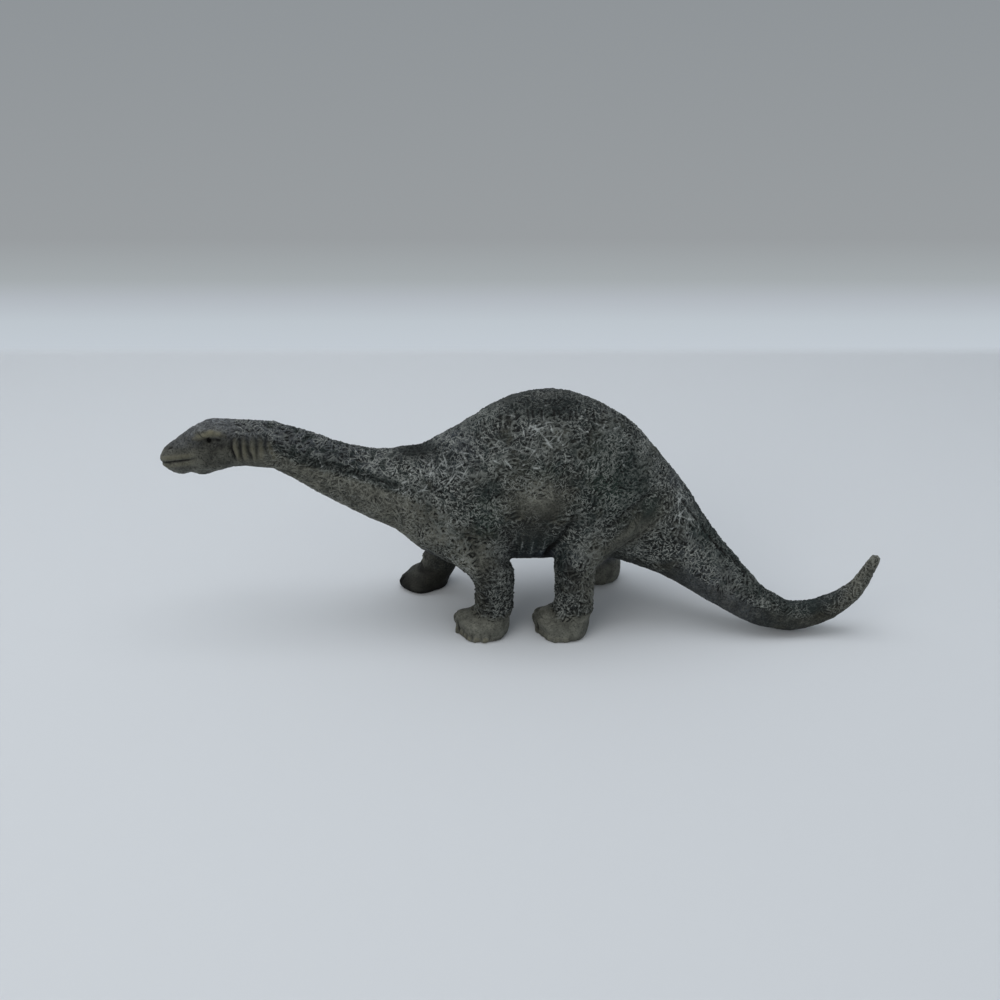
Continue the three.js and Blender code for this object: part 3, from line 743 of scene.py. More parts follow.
# how strokes lie: at an angle that wanders, and turned across the body on the crest and the tail
across = np.maximum(blob(x, z, 9, 115, 34, 4), soft_step(x, 68, 84))
lay = (1.4 - soft_step(-x, 90, 120)) * slow_noise(26, 3.3) + 0.5 * math.pi * across
plain = np.maximum.reduce(  # near 1 where the skin has no strokes
    [
        face - 0.35 * crown,
        0.9 * throat,
        0.5 * soft_step(x, 115, 150),
        0.8 * tail_foot,
        ankle,
        0.85 * inner,
        0.5 * below_neck,
        (0.75 + 0.5 * patch) * blob(x, z, 6, 77, 18, 11),  # the brown patch on the flank
        0.75 * blob(x, z, 2, 58, 15, 12),  # the belly below it
        0.4 * crest,
        0.6 * blob(x, z, -22, 50, 5, 5),  # the upper foreleg
        0.7 * under,
        0.7 * blob(x, z, -22, 44, 6, 10),
        0.95 * bands,
        0.45 * blob(x, z, 33, 30, 6, 18),  # the hind shin
        0.45 * blob(x, z, -130, 104, 13, 6),  # behind the head
    ]
)
skin = 1 - plain
print("plain skin:", round(100 * float(plain.mean())), "% of the points")

# %% [markdown]
# Now the strokes. Seeds are spread evenly, one to each cell of a grid. Each gets a direction, a
# length and a slight curve, and every point of the skin near a stroke rises by how close it is. The
# function also tells how near a point is to a stroke's foot, because a sculptor's tool pushes a
# groove up beside each ridge, and dark paint gathers there, as wash and as painted shade beside the
# ridge.

# %% Strokes
NEARLY_UP = [0.13, 0.21, 0.97]  # no part of the skin faces exactly this way
FOOT_AT, FOOT_WIDTH = 2.1, 0.75  # in half widths of the stroke, from its middle line
SIDE_ROOM = 1.2  # mm beside a stroke in which points are still moved

dice = np.random.default_rng(65)
finder = KDTree(len(points))
for i, place in enumerate(points.tolist()):
    finder.insert(place, i)
finder.balance()


def strokes(pitch, lengths, half_widths, curl, cover):
    """Short curved strokes: how high each point stands, how near it is to a foot, and its paint.

    Low on the legs strokes are shorter and more curved, and on the neck and tail they are finer.
    """
    # the seeds, one to a cell
    shuffled = dice.permutation(len(points))
    cells = np.floor(points[shuffled] / pitch).astype(int)
    _, firsts = np.unique(cells, axis=0, return_index=True)
    seeds = shuffled[np.sort(firsts)]
    seeds = seeds[dice.random(len(seeds)) < cover[seeds]]
    # what each stroke is like
    low = soft_step(-points[seeds, 2], -44, -26) * (points[seeds, 0] < 75)
    slim = soft_step(np.abs(points[seeds, 0] - 6), 50, 95)
    length = dice.uniform(*lengths, len(seeds)) * (1 - 0.4 * low) * (1 - 0.15 * slim)
    half_width = dice.uniform(*half_widths, len(seeds)) * (1 - 0.1 * low - 0.12 * slim)
    bend = dice.normal(0, curl, len(seeds)) * (1 + 1.2 * low)
    weight = dice.uniform(0.5, 1.1, len(seeds)) * np.clip(1.6 * cover[seeds], 0, 1)
    weight *= 1 + 0.35 * low
    brush = dice.random(len(seeds)) ** 1.6
    turn = lay[seeds] + dice.normal(0, 0.5, len(seeds))
    stray = dice.random(len(seeds)) < 0.5 - 0.32 * soft_step(-points[seeds, 0], 85, 120)
    turn[stray] = dice.uniform(0, math.pi, stray.sum())
    # its direction along the skin, and the one across it
    first = np.cross(outward[seeds], NEARLY_UP)
    first /= np.linalg.norm(first, axis=1, keepdims=True)
    second = np.cross(outward[seeds], first)
    along = first * np.cos(turn)[:, None] + second * np.sin(turn)[:, None]
    aside = np.cross(outward[seeds], along)
    # the points near each stroke
    whose, which = [], []
    for k, seed in enumerate(seeds.tolist()):
        found = finder.find_range(points[seed], length[k] / 2 + SIDE_ROOM)
        which += [f[1] for f in found]
        whose += [k] * len(found)
    whose, which = np.array(whose), np.array(which)
    # how far each of them is along the stroke, and off it in half widths
    offset = points[which] - points[seeds[whose]]
    run = (offset * along[whose]).sum(1)
    drift = (offset * aside[whose]).sum(1) - bend[whose] * run**2
    off = np.abs(drift) / half_width[whose]
    same_side = (outward[which] * outward[seeds[whose]]).sum(1) > 0.2
    taper = np.clip(1 - (2 * run / length[whose]) ** 2, 0, 1) ** 0.6 * same_side
    ridge = np.exp(-(off**2)) * taper
    beside = np.exp(-(((off - FOOT_AT) / FOOT_WIDTH) ** 2)) * taper
    rise, foot, paint_on = np.zeros((3, len(points)))
    np.maximum.at(rise, which, ridge * weight[whose])
    np.maximum.at(foot, which, beside * weight[whose])
    np.maximum.at(paint_on, which, ridge * brush[whose])
    print(len(seeds), "strokes, mean height", round(float(rise.mean()), 2))
    return rise, foot * np.clip(1 - 1.6 * rise, 0, 1), paint_on


print("grid for finding near points:", len(points), "points")

# %% [markdown]
# A sculptor adds single marks by hand before the general texture, where the eye rests longest:
# loose hairs on the shoulder, flank and rump, lengthwise creases on the nape, short upright marks
# under the crest and slanting ones on top of the tail. They are drawn with the ridge tool, each a
# little different. Then two sets of strokes go over the whole skin: broad wrinkles, and long thin
# fibres that cross them. A groove runs at the foot of each, except where a fibre crosses it.

# %% Wrinkles and fibres
NAPE_CREASES, CREST_MARKS, TAIL_MARKS = 22, 15, 11
HAIRS = [  # middle x and z in mm, spread along and up, how many
    (12, 109.5, 8, 4, 16),
    (-64, 82.5, 9, 3, 14),
    (-38, 92, 9, 6, 18),
    (79, 64, 5, 7, 16),
    (-92, 89, 12, 2.5, 8),
    (34, 99, 10, 7, 6),
    (-10, 97, 11, 8, 10),
]
for mid_x, mid_z, wide, high, count in HAIRS:
    for side in BOTH:
        for _ in range(count):
            at = np.array([dice.normal(mid_x, wide), dice.normal(mid_z, high)])
            turn, half = dice.uniform(-1.3, 1.3), dice.uniform(1.5, 4.0)
            run = half * np.array([math.cos(turn), math.sin(turn)])
            line = [tuple(at - run), tuple(at + run)]
            sculpt(line, 0.7, 0.2, sides=[side])
            sculpt(line, 0.6, dice.uniform(0.3, 0.6), sides=[side], target=streak)
for _ in range(NAPE_CREASES):
    at = dice.uniform(-140, -72)
    up = np.interp(at, [-140, -110, -72], [107.5, 101.5, 89.5]) + dice.uniform(-3, 4)
    ahead, climb = dice.uniform(2, 5), dice.uniform(0.3, 1.8)
    back, drop = dice.uniform(2, 5), dice.uniform(0.8, 2)
    crease = [(at - ahead, up + climb), (at, up), (at + back, up - drop)]
    sculpt(crease, 1.0, -0.35, fade=0.3)
    sculpt(crease, 0.75, dice.uniform(0.2, 0.5), fade=0.45, target=deep)
for k in range(CREST_MARKS):
    at = -20 + 4.1 * k + dice.uniform(-1, 1)
    top, foot = 116.5 - 0.004 * (at - 9) ** 2, 113.2 - 0.006 * (at - 9) ** 2
    mark = [(at, top), (at + dice.uniform(-1, 1), foot)]
    sculpt(mark, 1.1, -0.4, fade=0.1)
    sculpt(mark, 1.0, 0.65, fade=0.1, target=deep)
for k in range(TAIL_MARKS):
    at = 80 + 3.6 * k + dice.uniform(-0.8, 0.8)
    top = np.interp(at, [80, 98, 120], [68, 46, 29]) - 1
    mark = [(at - 1.2, top + 1.2), (at + 1.3, top - 2.6)]
    sculpt(mark, 1.5, -0.6, fade=0.1)
    sculpt(mark, 1.5, 0.85, fade=0.1, target=deep)

FOLD_HEIGHT = 0.45  # mm
FIBRE_HEIGHT = 0.34
FOOT_DEPTH = 0.5
LUMP_HEIGHT = 0.4
fold, fold_foot, _ = strokes(2.6, (2.8, 8.5), (0.33, 0.55), 0.055, 0.9 * skin)
fibre, fibre_foot, fibre_paint = strokes(
    2.1, (5, 14), (0.27, 0.4), 0.022, skin * soft_step(patch, 0.9, -0.6)
)
# groove: where the dark wash goes at the foot of each stroke, partly painted shade beside it
groove = np.clip(np.maximum(fold_foot, 0.75 * fibre_foot) - 0.8 * fibre, 0, 1)
groove *= 0.7 + 0.45 * soft_step(lump, -0.3, 0.4)
lift += FOLD_HEIGHT * fold + FIBRE_HEIGHT * fibre - FOOT_DEPTH * groove
lift += LUMP_HEIGHT * lump * (0.35 + 0.65 * skin) + (0.14 + 0.1 * face) * pebble * plain
print("skin rises", round(float(lift.max()), 2), "and sinks", round(float(-lift.min()), 2), "mm")

# %% [markdown]
# Now the skin moves, by all that the tools pulled and lifted. The finished surface is then shared
# out among the seven castings: each face goes to the solid that it lies on. A search tree of each
# solid finds its nearest place fast.

# %% Move the skin and share it out
points = points + pulled + lift[:, None] * outward
normals = facing(points, quads)
centres = points[quads].mean(1)
solids = {}
for name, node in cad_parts.items():
    shape = bmesh.new()
    shape.from_mesh(node.data)
    solids[name] = BVHTree.FromBMesh(shape)
    shape.free()
names = list(solids)
distances = np.array(
    [[solids[n].find_nearest(Vector(c) * MM)[3] for n in names] for c in centres.tolist()]
)
owner = distances.argmin(1)
print({n: int((owner == i).sum()) for i, n in enumerate(names)})

# %% [markdown]
# On the real toy each casting is a solid body of its own. Here each piece gets the skin that lies
# on it, and every opening is closed by a blunt cone that runs into the body, so each piece is one
# closed body. The directions for shading come from the whole skin, so no seam shows, as on the real
# toy, where the seams are filled before painting. First the stray faces go to the piece round them,
# so that each piece's edge is clean.

# %% Clean edges between the pieces
def neighbours(quads):
    """Pairs of faces that share an edge, and its two points in the order of the first face."""
    start = quads.ravel()
    end = np.roll(quads, -1, axis=1).ravel()
    face = np.repeat(np.arange(len(quads)), 4)
    key = np.minimum(start, end).astype(np.int64) * len(points) + np.maximum(start, end)
    order = np.argsort(key, kind="stable")
    a, b = order[0::2], order[1::2]
    return np.stack([face[a], face[b]], axis=1), np.stack([start[a], end[a]], axis=1)


def without_islands(owner, pairs):
    """Gives each stray patch of faces to the piece round it."""
    label = np.arange(len(owner))
    same = pairs[owner[pairs[:, 0]] == owner[pairs[:, 1]]]
    while True:
        low = np.minimum(label[same[:, 0]], label[same[:, 1]])
        spread = label.copy()
        np.minimum.at(spread, same[:, 0], low)
        np.minimum.at(spread, same[:, 1], low)
        spread = spread[spread]
        if (spread == label).all():
            break
        label = spread
    size = np.bincount(label, minlength=len(owner))[label]
    settled = size == np.array([size[owner == i].max() for i in range(len(names))])[owner]
    print("stray faces:", int((~settled).sum()))
    while not settled.all():
        for a, b in (pairs.T, pairs.T[::-1]):
            take = settled[a] & ~settled[b]
            owner[b[take]] = owner[a[take]]
            settled[b[take]] = True
    return owner


pairs, shared = neighbours(quads)
owner = without_islands(owner, pairs)
crossing = owner[pairs[:, 0]] != owner[pairs[:, 1]]
print("edges between two pieces:", int(crossing.sum()))

# %% [markdown]
# The next functions cut a piece out of the skin. One finds the loops of edges at its openings, by
# joining edges that meet until each loop has one name. The other builds the mesh, closes each loop
# with a cone towards the middle of the trunk, and keeps with every point what the painter has to
# know about it.

# %% Close the pieces
CONE_DEPTH = 4.0  # mm into the body
TRUNK_CONE_DEPTH = 5.0
CORE = np.array([0.0, 0.0, 72.0])  # the middle of the trunk
STORED = {}  # what the painter has to know at each point of the skin, filled in below


def loops_of(rim):
    """The rim's edges grouped by the opening that they go round."""
    home = {}

    def root(p):
        """The point that stands for the whole loop that p is in, as far as it is known."""
        while home.setdefault(p, p) != p:
            home[p] = home[home[p]]
            p = home[p]
        return p

    for a, b in rim:
        home[root(a)] = root(b)
    found = {}
    for a, b in rim:
        found.setdefault(root(a), []).append((a, b))
    return list(found.values())


def cut_piece(name):
    """One casting's skin with its openings closed, as an object in the frame's own place."""
    i = names.index(name)
    own_quads = quads[owner == i]
    outgoing = crossing & (owner[pairs[:, 0]] == i)
    incoming = crossing & (owner[pairs[:, 1]] == i)
    rim = [(a, b) for a, b in shared[outgoing].tolist()]
    rim += [(b, a) for a, b in shared[incoming].tolist()]
    kept = np.unique(own_quads)
    new_number = np.full(len(points), -1)
    new_number[kept] = np.arange(len(kept))
    corners = points[kept].tolist()
    faces = new_number[own_quads].tolist()
    depth = TRUNK_CONE_DEPTH if name == "trunk" else CONE_DEPTH
    for loop in loops_of(rim):
        middle = points[[a for a, _ in loop]].mean(0)
        inward = CORE - middle
        corners.append((middle + depth * inward / np.linalg.norm(inward)).tolist())
        tip = len(corners) - 1
        faces += [(int(new_number[b]), int(new_number[a]), tip) for a, b in loop]
    mesh = bpy.data.meshes.new(name + "_skin")
    mesh.from_pydata([[v * MM for v in c] for c in corners], [], faces)
    mesh.shade_smooth()
    cones = len(corners) - len(kept)
    for key, values in STORED.items():
        stored = mesh.attributes.new(key, "FLOAT", "POINT")
        whole = np.concatenate([values[kept], np.zeros(cones)])
        stored.data.foreach_set("value", whole.astype(np.float32))
    directions = normals[own_quads.ravel()]
    flat = read(mesh.polygons, "normal", np.float32, 3)[len(own_quads) :]
    directions = np.concatenate([directions, np.repeat(flat, 3, axis=0)])
    mesh.normals_split_custom_set(directions.tolist())
    piece = bpy.data.objects.new(name + "_skin", mesh)
    bpy.context.scene.collection.objects.link(piece)
    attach(piece, "root")
    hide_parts(name)
    print(name, len(mesh.vertices), "points,", len(mesh.polygons), "faces,", cones, "cones")
    return piece


print("cones go", CONE_DEPTH, "and", TRUNK_CONE_DEPTH, "mm deep")

# %% [markdown]
# The painter mixes a few coats and doesn't spread them evenly: there is a brown round patch on the
# flank, a dark saddle along the crest, pale shins, and green and blue shadows. They could be
# painted in an image, but a short list of soft spots does as well and stays sharp at any size. Each
# spot is laid out as seen from the side, may slope, and says how strongly its coat covers. The last
# kind, bright, isn't a coat: it says where the dry brush touches hardest.

# %% Where the painter lays each coat
SPOTS = [  # coat, x and z of the middle in mm, half length, half height, slope, share
    ("warm", 6, 78, 25, 15, 0, 0.75),
    ("warm", -30, 50, 20, 16, 0, 0.45),
    ("warm", 53, 57.5, 20, 9, 0.65, 0.6),
    ("slate", -18, 82, 8, 6, 0, 0.85),
    ("slate", -28, 73, 7, 5, 0, 0.55),
    ("slate", -112, 108, 22, 5, -0.35, 0.5),
    ("slate", 27, 72, 7, 9, 0.5, 0.5),
    ("slate", -50, 93.5, 19, 5.5, -0.1, 1.0),
    ("slate", -20, 110, 16, 4, 0.55, 0.7),
    ("slate", 50, 87, 12, 15, -1.0, 0.9),
    ("slate", 62, 68, 8, 5, 0.6, 0.5),
    # painted shade low on the belly
    ("slate", 9, 49, 19, 8, 0, 0.95),
    ("slate", 8, 117, 38, 4.4, 0, 1.0),
    ("slate", 90, 58, 10, 5, -0.8, 0.7),
    ("slate", 79, 52, 11, 10, -0.7, 0.2),
    ("slate", -95, 94, 18, 3.2, -0.3, 0.5),
    # painted shade behind the foreleg, low on the feet by the table and in the crease between belly
    # and thigh
    ("slate", -9, 30, 3, 16, 0, 0.5),
    ("slate", 34, 6, 14, 3.5, 0, 0.3),
    ("slate", -14, 5, 8, 3, 0, 0.25),
    ("slate", 16.5, 40, 3.4, 14, 0, 0.85),
    ("pale", 7, 80, 11, 8, 0, 1.0),
    ("pale", -8, 74, 12, 7, 0, 0.35),
    ("pale", -82, 70, 36, 10, -0.25, 0.72),
    # painted light: paler paint under the chest, against the shade there
    ("pale", -48, 60, 14, 12, 0, 0.75),
    ("pale", -26, 46, 11, 9, 0, 1.0),
    ("pale", 34, 32, 7, 18, 0, 1.0),
    ("pale", 12, 120.6, 13, 0.8, 0, 0.45),
    ("pale", 122, 24, 20, 7, -0.6, 0.35),
    ("pale", 53, 58, 13, 4, 0.65, 0.9),
    ("pale", 56, 55, 16, 6, 0.65, 0.7),
    ("green", 44, 84, 17, 18, -0.4, 0.8),
    ("green", 60, 70, 9, 9, -0.6, 0.5),
    ("green", -20, 70, 9, 14, 0, 0.6),
    ("green", 8, 92, 20, 6, 0, 0.35),
    ("green", 92, 50, 16, 8, -0.8, 0.5),
    ("blue", -36, 95, 16, 10, 0.3, 0.6),
    ("blue", -100, 97, 30, 5, -0.35, 0.4),
    ("blue", 8, 44, 20, 7, 0, 0.8),
    ("blue", 78, 74, 8, 10, -0.8, 0.5),
    ("blue", -48, 40, 10, 12, 0, 0.35),
    ("bright", 34, 32, 6, 18, 0, 0.6),
    ("bright", 79, 58, 9, 9, -0.7, 0.9),
    ("bright", 10, 108, 15, 9, 0, 0.68),
    ("bright", -36, 90, 24, 15, 0.4, 0.62),
    ("bright", 8, 98, 42, 14, 0, 0.5),
    ("bright", -66, 80, 20, 7, -0.25, 0.45),
    ("bright", 46, 100, 12, 10, -0.6, 0.5),
    ("bright", 80, 74, 8, 10, -0.6, 0.7),
]


def spots(coat):
    """The share of one coat at every point, from the spots listed for it."""
    return np.maximum.reduce(
        [
            share * blob(x, z - slope * (x - mid_x), mid_x, mid_z, half_x, half_z)
            for kind, mid_x, mid_z, half_x, half_z, slope, share in SPOTS
            if kind == coat
        ]
    )


print("spots:", {coat: sum(s[0] == coat for s in SPOTS) for coat in sorted({s[0] for s in SPOTS})})

# %% [markdown]
# Spots alone would look sprayed on, so each coat also follows the animal: it goes by which way the
# skin faces, by the ankles, the face and the throat, and by the slow noise. Dark paint is left
# between the strokes in some places, as a ground that the brush didn't reach. What comes out is one
# number for each coat at each point of the skin. These numbers are kept on the mesh as attributes,
# which the material reads.

# %% How strongly each coat covers
shoot = soft_step(x, 70, 90)  # the tail
warm = np.maximum.reduce(
    [
        spots("warm"),
        0.6 * below_neck,
        # less brown on the far hind ankle, for the painted light on that leg
        np.where((y > 0) & (x > 0), 0.1, 0.8) * ankle,
        0.9 * face * (1 - crown) * (1 - under),
        0.7 * soft_step(x, 120, 160) * (1 - soft_step(outward[:, 2], 0.2, 0.8)),
    ]
)
cool = np.maximum.reduce(
    [
        crown,
        0.9 * face * under,
        0.35 * soft_step(outward[:, 2], 0.75, 1.0),
        0.6 * throat * soft_step(outward[:, 2], 0, 0.6),
        0.5 * soft_step(neck_line - z, 0, -4) * soft_step(-x, 60, 80),
        0.4 * shoot * (1 - soft_step(x, 105, 125)),
        # painted light: the far hind leg, in shade, gets a paler blue grey, for the cool light
        # there
        inner * (y > 0) * (x > 0),
        0.9 * ankle * (y > 0) * (x > 0),
    ]
)
tail_top = shoot * soft_step(outward[:, 2], 0.1, 0.8) * (1 - soft_step(x, 150, 165))
slate = np.maximum.reduce([slate, spots("slate"), 0.8 * tail_top])
slate *= 0.75 + 0.5 * patch
# the dark ground between strokes: on the body round its brown patch, on the tail and on the neck
body_ground = blob(x, z, 4, 78, 62, 30) * (1 - blob(x, z, 6, 79, 17, 11))
tail_ground = 0.6 * shoot * (1 - 0.5 * soft_step(x, 100, 120))
upper_neck = soft_step(-x, 45, 65) * (1 - below_neck) * (1 - face) * (1 - 0.7 * throat)
ground = np.maximum.reduce([body_ground, tail_ground, 0.95 * upper_neck])
slate = np.maximum(slate, 0.9 * soft_step(-lump, 0.08, 0.38) * skin * ground)
pale = np.maximum.reduce(
    [
        spots("pale"),
        # the far foreleg's ankle stays nearly unpaled, part of the painted shade on that leg
        np.where(y < 0, 1.0, np.where(x > 0, 1.0, 0.1)) * ankle,
        0.2 * face * soft_step(-x, 156, 166),
        0.85 * below_neck,
        0.9 * soft_step(x, 158, 168),
        face * blob(x, z, -152.5, 105.0, 6.5, 2.2),
    ]
)
print("mean cover:", {"warm": round(float(warm.mean()), 2), "slate": round(float(slate.mean()), 2)})

# %% [markdown]
# Last come the darkest places, where the light hardly gets to: the belly, the base of the neck, the
# rump, the fronts of the ankles and the far legs. Everything then goes into one table, held between
# 0 and 1.

# %% What the paint knows
hairy = spots("bright") * skin * (0.6 + 0.6 * soft_step(patch, -0.3, 0.4))
shin = soft_step(-z, -46, -36) * soft_step(z, 14, 20) * (x < 75)
front = soft_step(-outward[:, 0], 0.35, 0.9)
# painted shade: dark paint where little light gets to, on the belly, the neck's base, the rump, the
# ankles and the far foreleg; the crest and the cheek get dark paint of their own
deep += 0.3 * blob(x, z, 3, 38, 16, 6) * (1 - np.clip(lift, 0, 0.5))  # the belly
deep += 0.64 * blob(x, z, -52, 93, 15, 4)  # the base of the neck
deep += 0.42 * blob(x, z, 8, 118, 34, 4.5)  # the crest
deep += 0.2 * blob(x, z, 46, 94, 10, 9)  # the rump
deep += 0.14 * shin * (x < 26)
# painted shade at the front of the ankles and along the sole's edge by the table
deep += ankle * (0.28 * front + 0.2 * soft_step(-z, -4, -0.5))  # and the edge of the sole
deep += 0.16 * upper_neck * soft_step(-lump, 0.1, 0.5)
deep += 0.3 * face * blob(x, z, -150, 94, 11, 8) + 0.1 * throat  # the cheek
# painted shade on the far foreleg, which stands in the body's shadow
deep += (0.1 * inner + 0.68 * ankle) * (y > 0) * (x < 0)  # the far foreleg
STORED["fibre"] = np.clip(0.75 * fold + fibre, 0, 1.4)
STORED["groove"] = groove
STORED["gloss"] = gloss
shares = {
    "brush": fibre_paint * (0.25 + hairy) + streak,
    "hairy": hairy,
    "bare": 0.75 * plain + 0.2 * ankle + 0.35 * blob(x, z, 33, 33, 6, 14),  # without fine strokes
    "speckled": (0.75 * plain + 0.15 * face) * (1 - 0.5 * ankle),
    "warm": warm,
    "cool": cool,
    "slate": slate,
    "pale": pale,
    "green": spots("green") * (1 + 0.5 * patch),
    "blue": spots("blue") * (1 - 0.5 * patch),
    "horn": horn,
    "deep": deep,
}
for key, values in shares.items():
    STORED[key] = np.clip(values, 0, 1)
print({k: round(float(v.mean()), 3) for k, v in STORED.items()})

# %% [markdown]
# A nearly dry brush with pale paint is dragged over the skin, and its hairs leave strokes that are
# finer than the sculpted fibres. The net is too coarse for them, so they are a pattern: space is
# cut into cells, and each cell gets one curved line at a chance angle. Several layers of them, each
# shifted, make strokes that cross. A real hair's mark would be too fine to show, so these are drawn
# wider.

# %% Fine painted strokes
FINE_CELL = 2.6  # mm, the room that one fine painted stroke has
LONG_CELL = 6.5
FINE_HALF_WIDTH = 0.22  # mm, wider than a real brush hair's mark, which would be too fine to show
LAYER_OFFSETS = [  # metres; where each layer of strokes starts in the pattern
    (0, 0, 0),
    (0.031, 0.017, 0.043),
    (0.011, 0.067, 0.029),
    (0.083, 0.023, 0.091),
]


def fine_fibres(tree, place, normal, offset, room, bend):
    """One layer of hair-thin strokes: in each cell, a curved line through its middle.

    Room is a cell's width in mm, and bend is how far the line wanders, as a share of it.
    """
    vector, math_node, span = "ShaderNodeVectorMath", "ShaderNodeMath", "ShaderNodeMapRange"
    moved = add_node(tree, vector, {1: offset}, {0: place}, operation="ADD").outputs[0]
    wander = add_node(
        tree,
        "ShaderNodeTexNoise",
        {"Scale": 0.7 / (room * MM), "Detail": 1.0},
        {"Vector": moved},
    )
    curved = add_node(
        tree,
        vector,
        {1: (bend * room * MM,) * 3},
        {0: wander.outputs["Color"], 2: moved},
        operation="MULTIPLY_ADD",
    ).outputs[0]
    cell = add_node(tree, "ShaderNodeTexVoronoi", {"Scale": 1 / (room * MM)}, {"Vector": curved})
    # a direction along the skin, from the cell's chance colour, and how far off its line a point is
    local = add_node(
        tree, vector, links={0: curved, 1: cell.outputs["Position"]}, operation="SUBTRACT"
    ).outputs[0]
    random = add_node(
        tree, vector, {1: (0.5, 0.5, 0.5)}, {0: cell.outputs["Color"]}, operation="SUBTRACT"
    ).outputs[0]
    across = add_node(
        tree, vector, links={0: normal, 1: random}, operation="CROSS_PRODUCT"
    ).outputs[0]
    unit = add_node(tree, vector, links={0: across}, operation="NORMALIZE").outputs[0]
    off = add_node(tree, vector, links={0: local, 1: unit}, operation="DOT_PRODUCT")
    width = add_node(tree, math_node, links={0: off.outputs["Value"]}, operation="ABSOLUTE")
    line = add_node(
        tree,
        span,
        {
            "From Min": 0.25 * FINE_HALF_WIDTH * MM,
            "From Max": 1.5 * FINE_HALF_WIDTH * MM,
            "To Min": 1.0,
            "To Max": 0.0,
        },
        {"Value": width.outputs[0]},
        interpolation_type="SMOOTHSTEP",
    )
    ends = add_node(
        tree,
        span,
        {"From Min": 0.42, "From Max": 0.68, "To Min": 1.0, "To Max": 0.0},
        {"Value": cell.outputs["Distance"]},
        interpolation_type="SMOOTHSTEP",
    )
    return add_node(
        tree, math_node, links={0: line.outputs[0], 1: ends.outputs[0]}, operation="MULTIPLY"
    ).outputs[0]


def stroke_layers(tree, place, normal, room, bend):
    """Several layers of fine strokes, laid over each other."""
    found = fine_fibres(tree, place, normal, LAYER_OFFSETS[0], room, bend)
    for offset in LAYER_OFFSETS[1:]:
        layer = fine_fibres(tree, place, normal, offset, room, bend)
        found = add_node(
            tree, "ShaderNodeMath", links={0: found, 1: layer}, operation="MAXIMUM"
        ).outputs[0]
    return found


print("fine strokes are about", 2 * FINE_HALF_WIDTH, "mm wide")

# %% [markdown]
# The painter mixes a few colours and lays them one over the other: thin broad coats first, then a
# black wash that runs into the hollows, and the dry brush on what stands up. The list keeps that
# order. Each row says which coat it is and what it follows, such as the height of a fibre or a
# noise of a given size. One small function turns that into a share from none to all.

# %% Coats of paint
COATS = {
    "cast": "#2b3030",  # the vinyl itself
    "warm": "#47463c",  # brown, on the flank, the ankles and the lower neck
    # cool is also painted light on the far hind leg
    "cool": "#696d71",  # grey, on the crown of the head and other upper sides
    # slate is also painted shade low on the belly, behind the foreleg, on the feet and in the
    # crease before the thigh
    "slate": "#1b2524",  # dark saddle, neck line and ground between the strokes
    "pale": "#6f7067",  # feet, shins and throat
    "green": "#26362e",  # shadow on the shoulder and the rump
    "blue": "#2a303b",  # shadow above the shoulder and low on the flank
    # the wash is partly painted shade, dark in every hollow and groove
    "wash": "#080a09",  # thin black in every hollow
    "brushed": "#686c68",  # the dry brush on the ridges
    "fine": "#90948f",  # its finest strokes
    "fleck": "#9ca19f",  # its strongest touches, and the loose hairs
    "horn": "#75725f",  # lips, brow and nails
    # deep is also painted shade, on the belly, the far foreleg, the soles' edges and in creases and
    # clefts
    "deep": "#060605",  # mouth, eye, clefts and creases
}
LAYERS = [  # coat, what it follows, and for most also: none at, full at, its most, what limits it
    ("warm", "warm"),
    ("warm", "patch", 0.5, 0.66, 0.6),
    ("cool", "cool"),
    ("pale", "pale"),
    ("pale", "speck", 0.5, 0.66, 0.45, "speckled"),
    ("wash", "speck", 0.48, 0.32, 0.6, "speckled"),
    ("pale", "grain", 0.52, 0.66, 0.55, "speckled"),
    ("wash", "grain", 0.48, 0.34, 0.55, "speckled"),
    ("green", "green", 0.0, 1.0, 0.85),
    ("blue", "blue", 0.0, 1.0, 0.85),
    ("slate", "slate"),
    ("wash", "blotch", 0.4, 0.66, 0.42),
    ("wash", "grain", 0.52, 0.3, 0.45),
    # painted shade: the wash darkens the low skin between the strokes
    ("wash", "height", 0.45, 0.0, 0.86, "covered"),
    ("horn", "horn"),
    ("brushed", "height", 0.5, 1.05, 0.75, "broken"),
    ("fine", "fine", 0.35, 0.9, 0.72, "brushy"),
    ("green", "green", 0.0, 1.0, 0.3),
    ("blue", "blue", 0.0, 1.0, 0.25),
    ("slate", "slate", 0.1, 0.9, 0.62),
    ("fleck", "brush", 0.25, 0.7, 0.78),
    # painted shade: the wash darkens the groove at each stroke's foot
    ("wash", "groove", 0.08, 0.6, 0.93),
    ("fleck", "long", 0.2, 0.9, 0.7, "shaggy"),
    ("deep", "deep"),
]
MOTTLES = [  # a noise's name, its size in mm, and its detail
    ("patch", 16, 3.0),
    ("blotch", 5, 4.0),
    ("speck", 2.4, 3.0),
    ("grain", 0.9, 3.0),
]


def share(tree, signals, source, low=None, high=None, top=1.0, limit=None):
    """How strongly a coat covers: from none where its signal is low to top where it is high."""
    if low is None:
        return signals[source]
    found = add_node(
        tree,
        "ShaderNodeMapRange",
        {"From Min": low, "From Max": high, "To Min": 0.0, "To Max": top},
        {"Value": signals[source]},
        interpolation_type="SMOOTHSTEP",
    ).outputs[0]
    if limit is None:
        return found
    return add_node(
        tree, "ShaderNodeMath", links={0: found, 1: signals[limit]}, operation="MULTIPLY"
    ).outputs[0]


print(len(COATS), "coats in", len(LAYERS), "layers")

# %% [markdown]
# A material reads what the skin stores through attribute nodes. Beside those there are four noises,
# from patches as wide as a finger to fine grain, and the two patterns of painted strokes. All of
# them get a name here, so that the list of coats can ask for them. Three of the names only limit a
# coat: broken, where paint catches in specks, brushy, where the brush went, and shaggy, where its
# long strokes show.

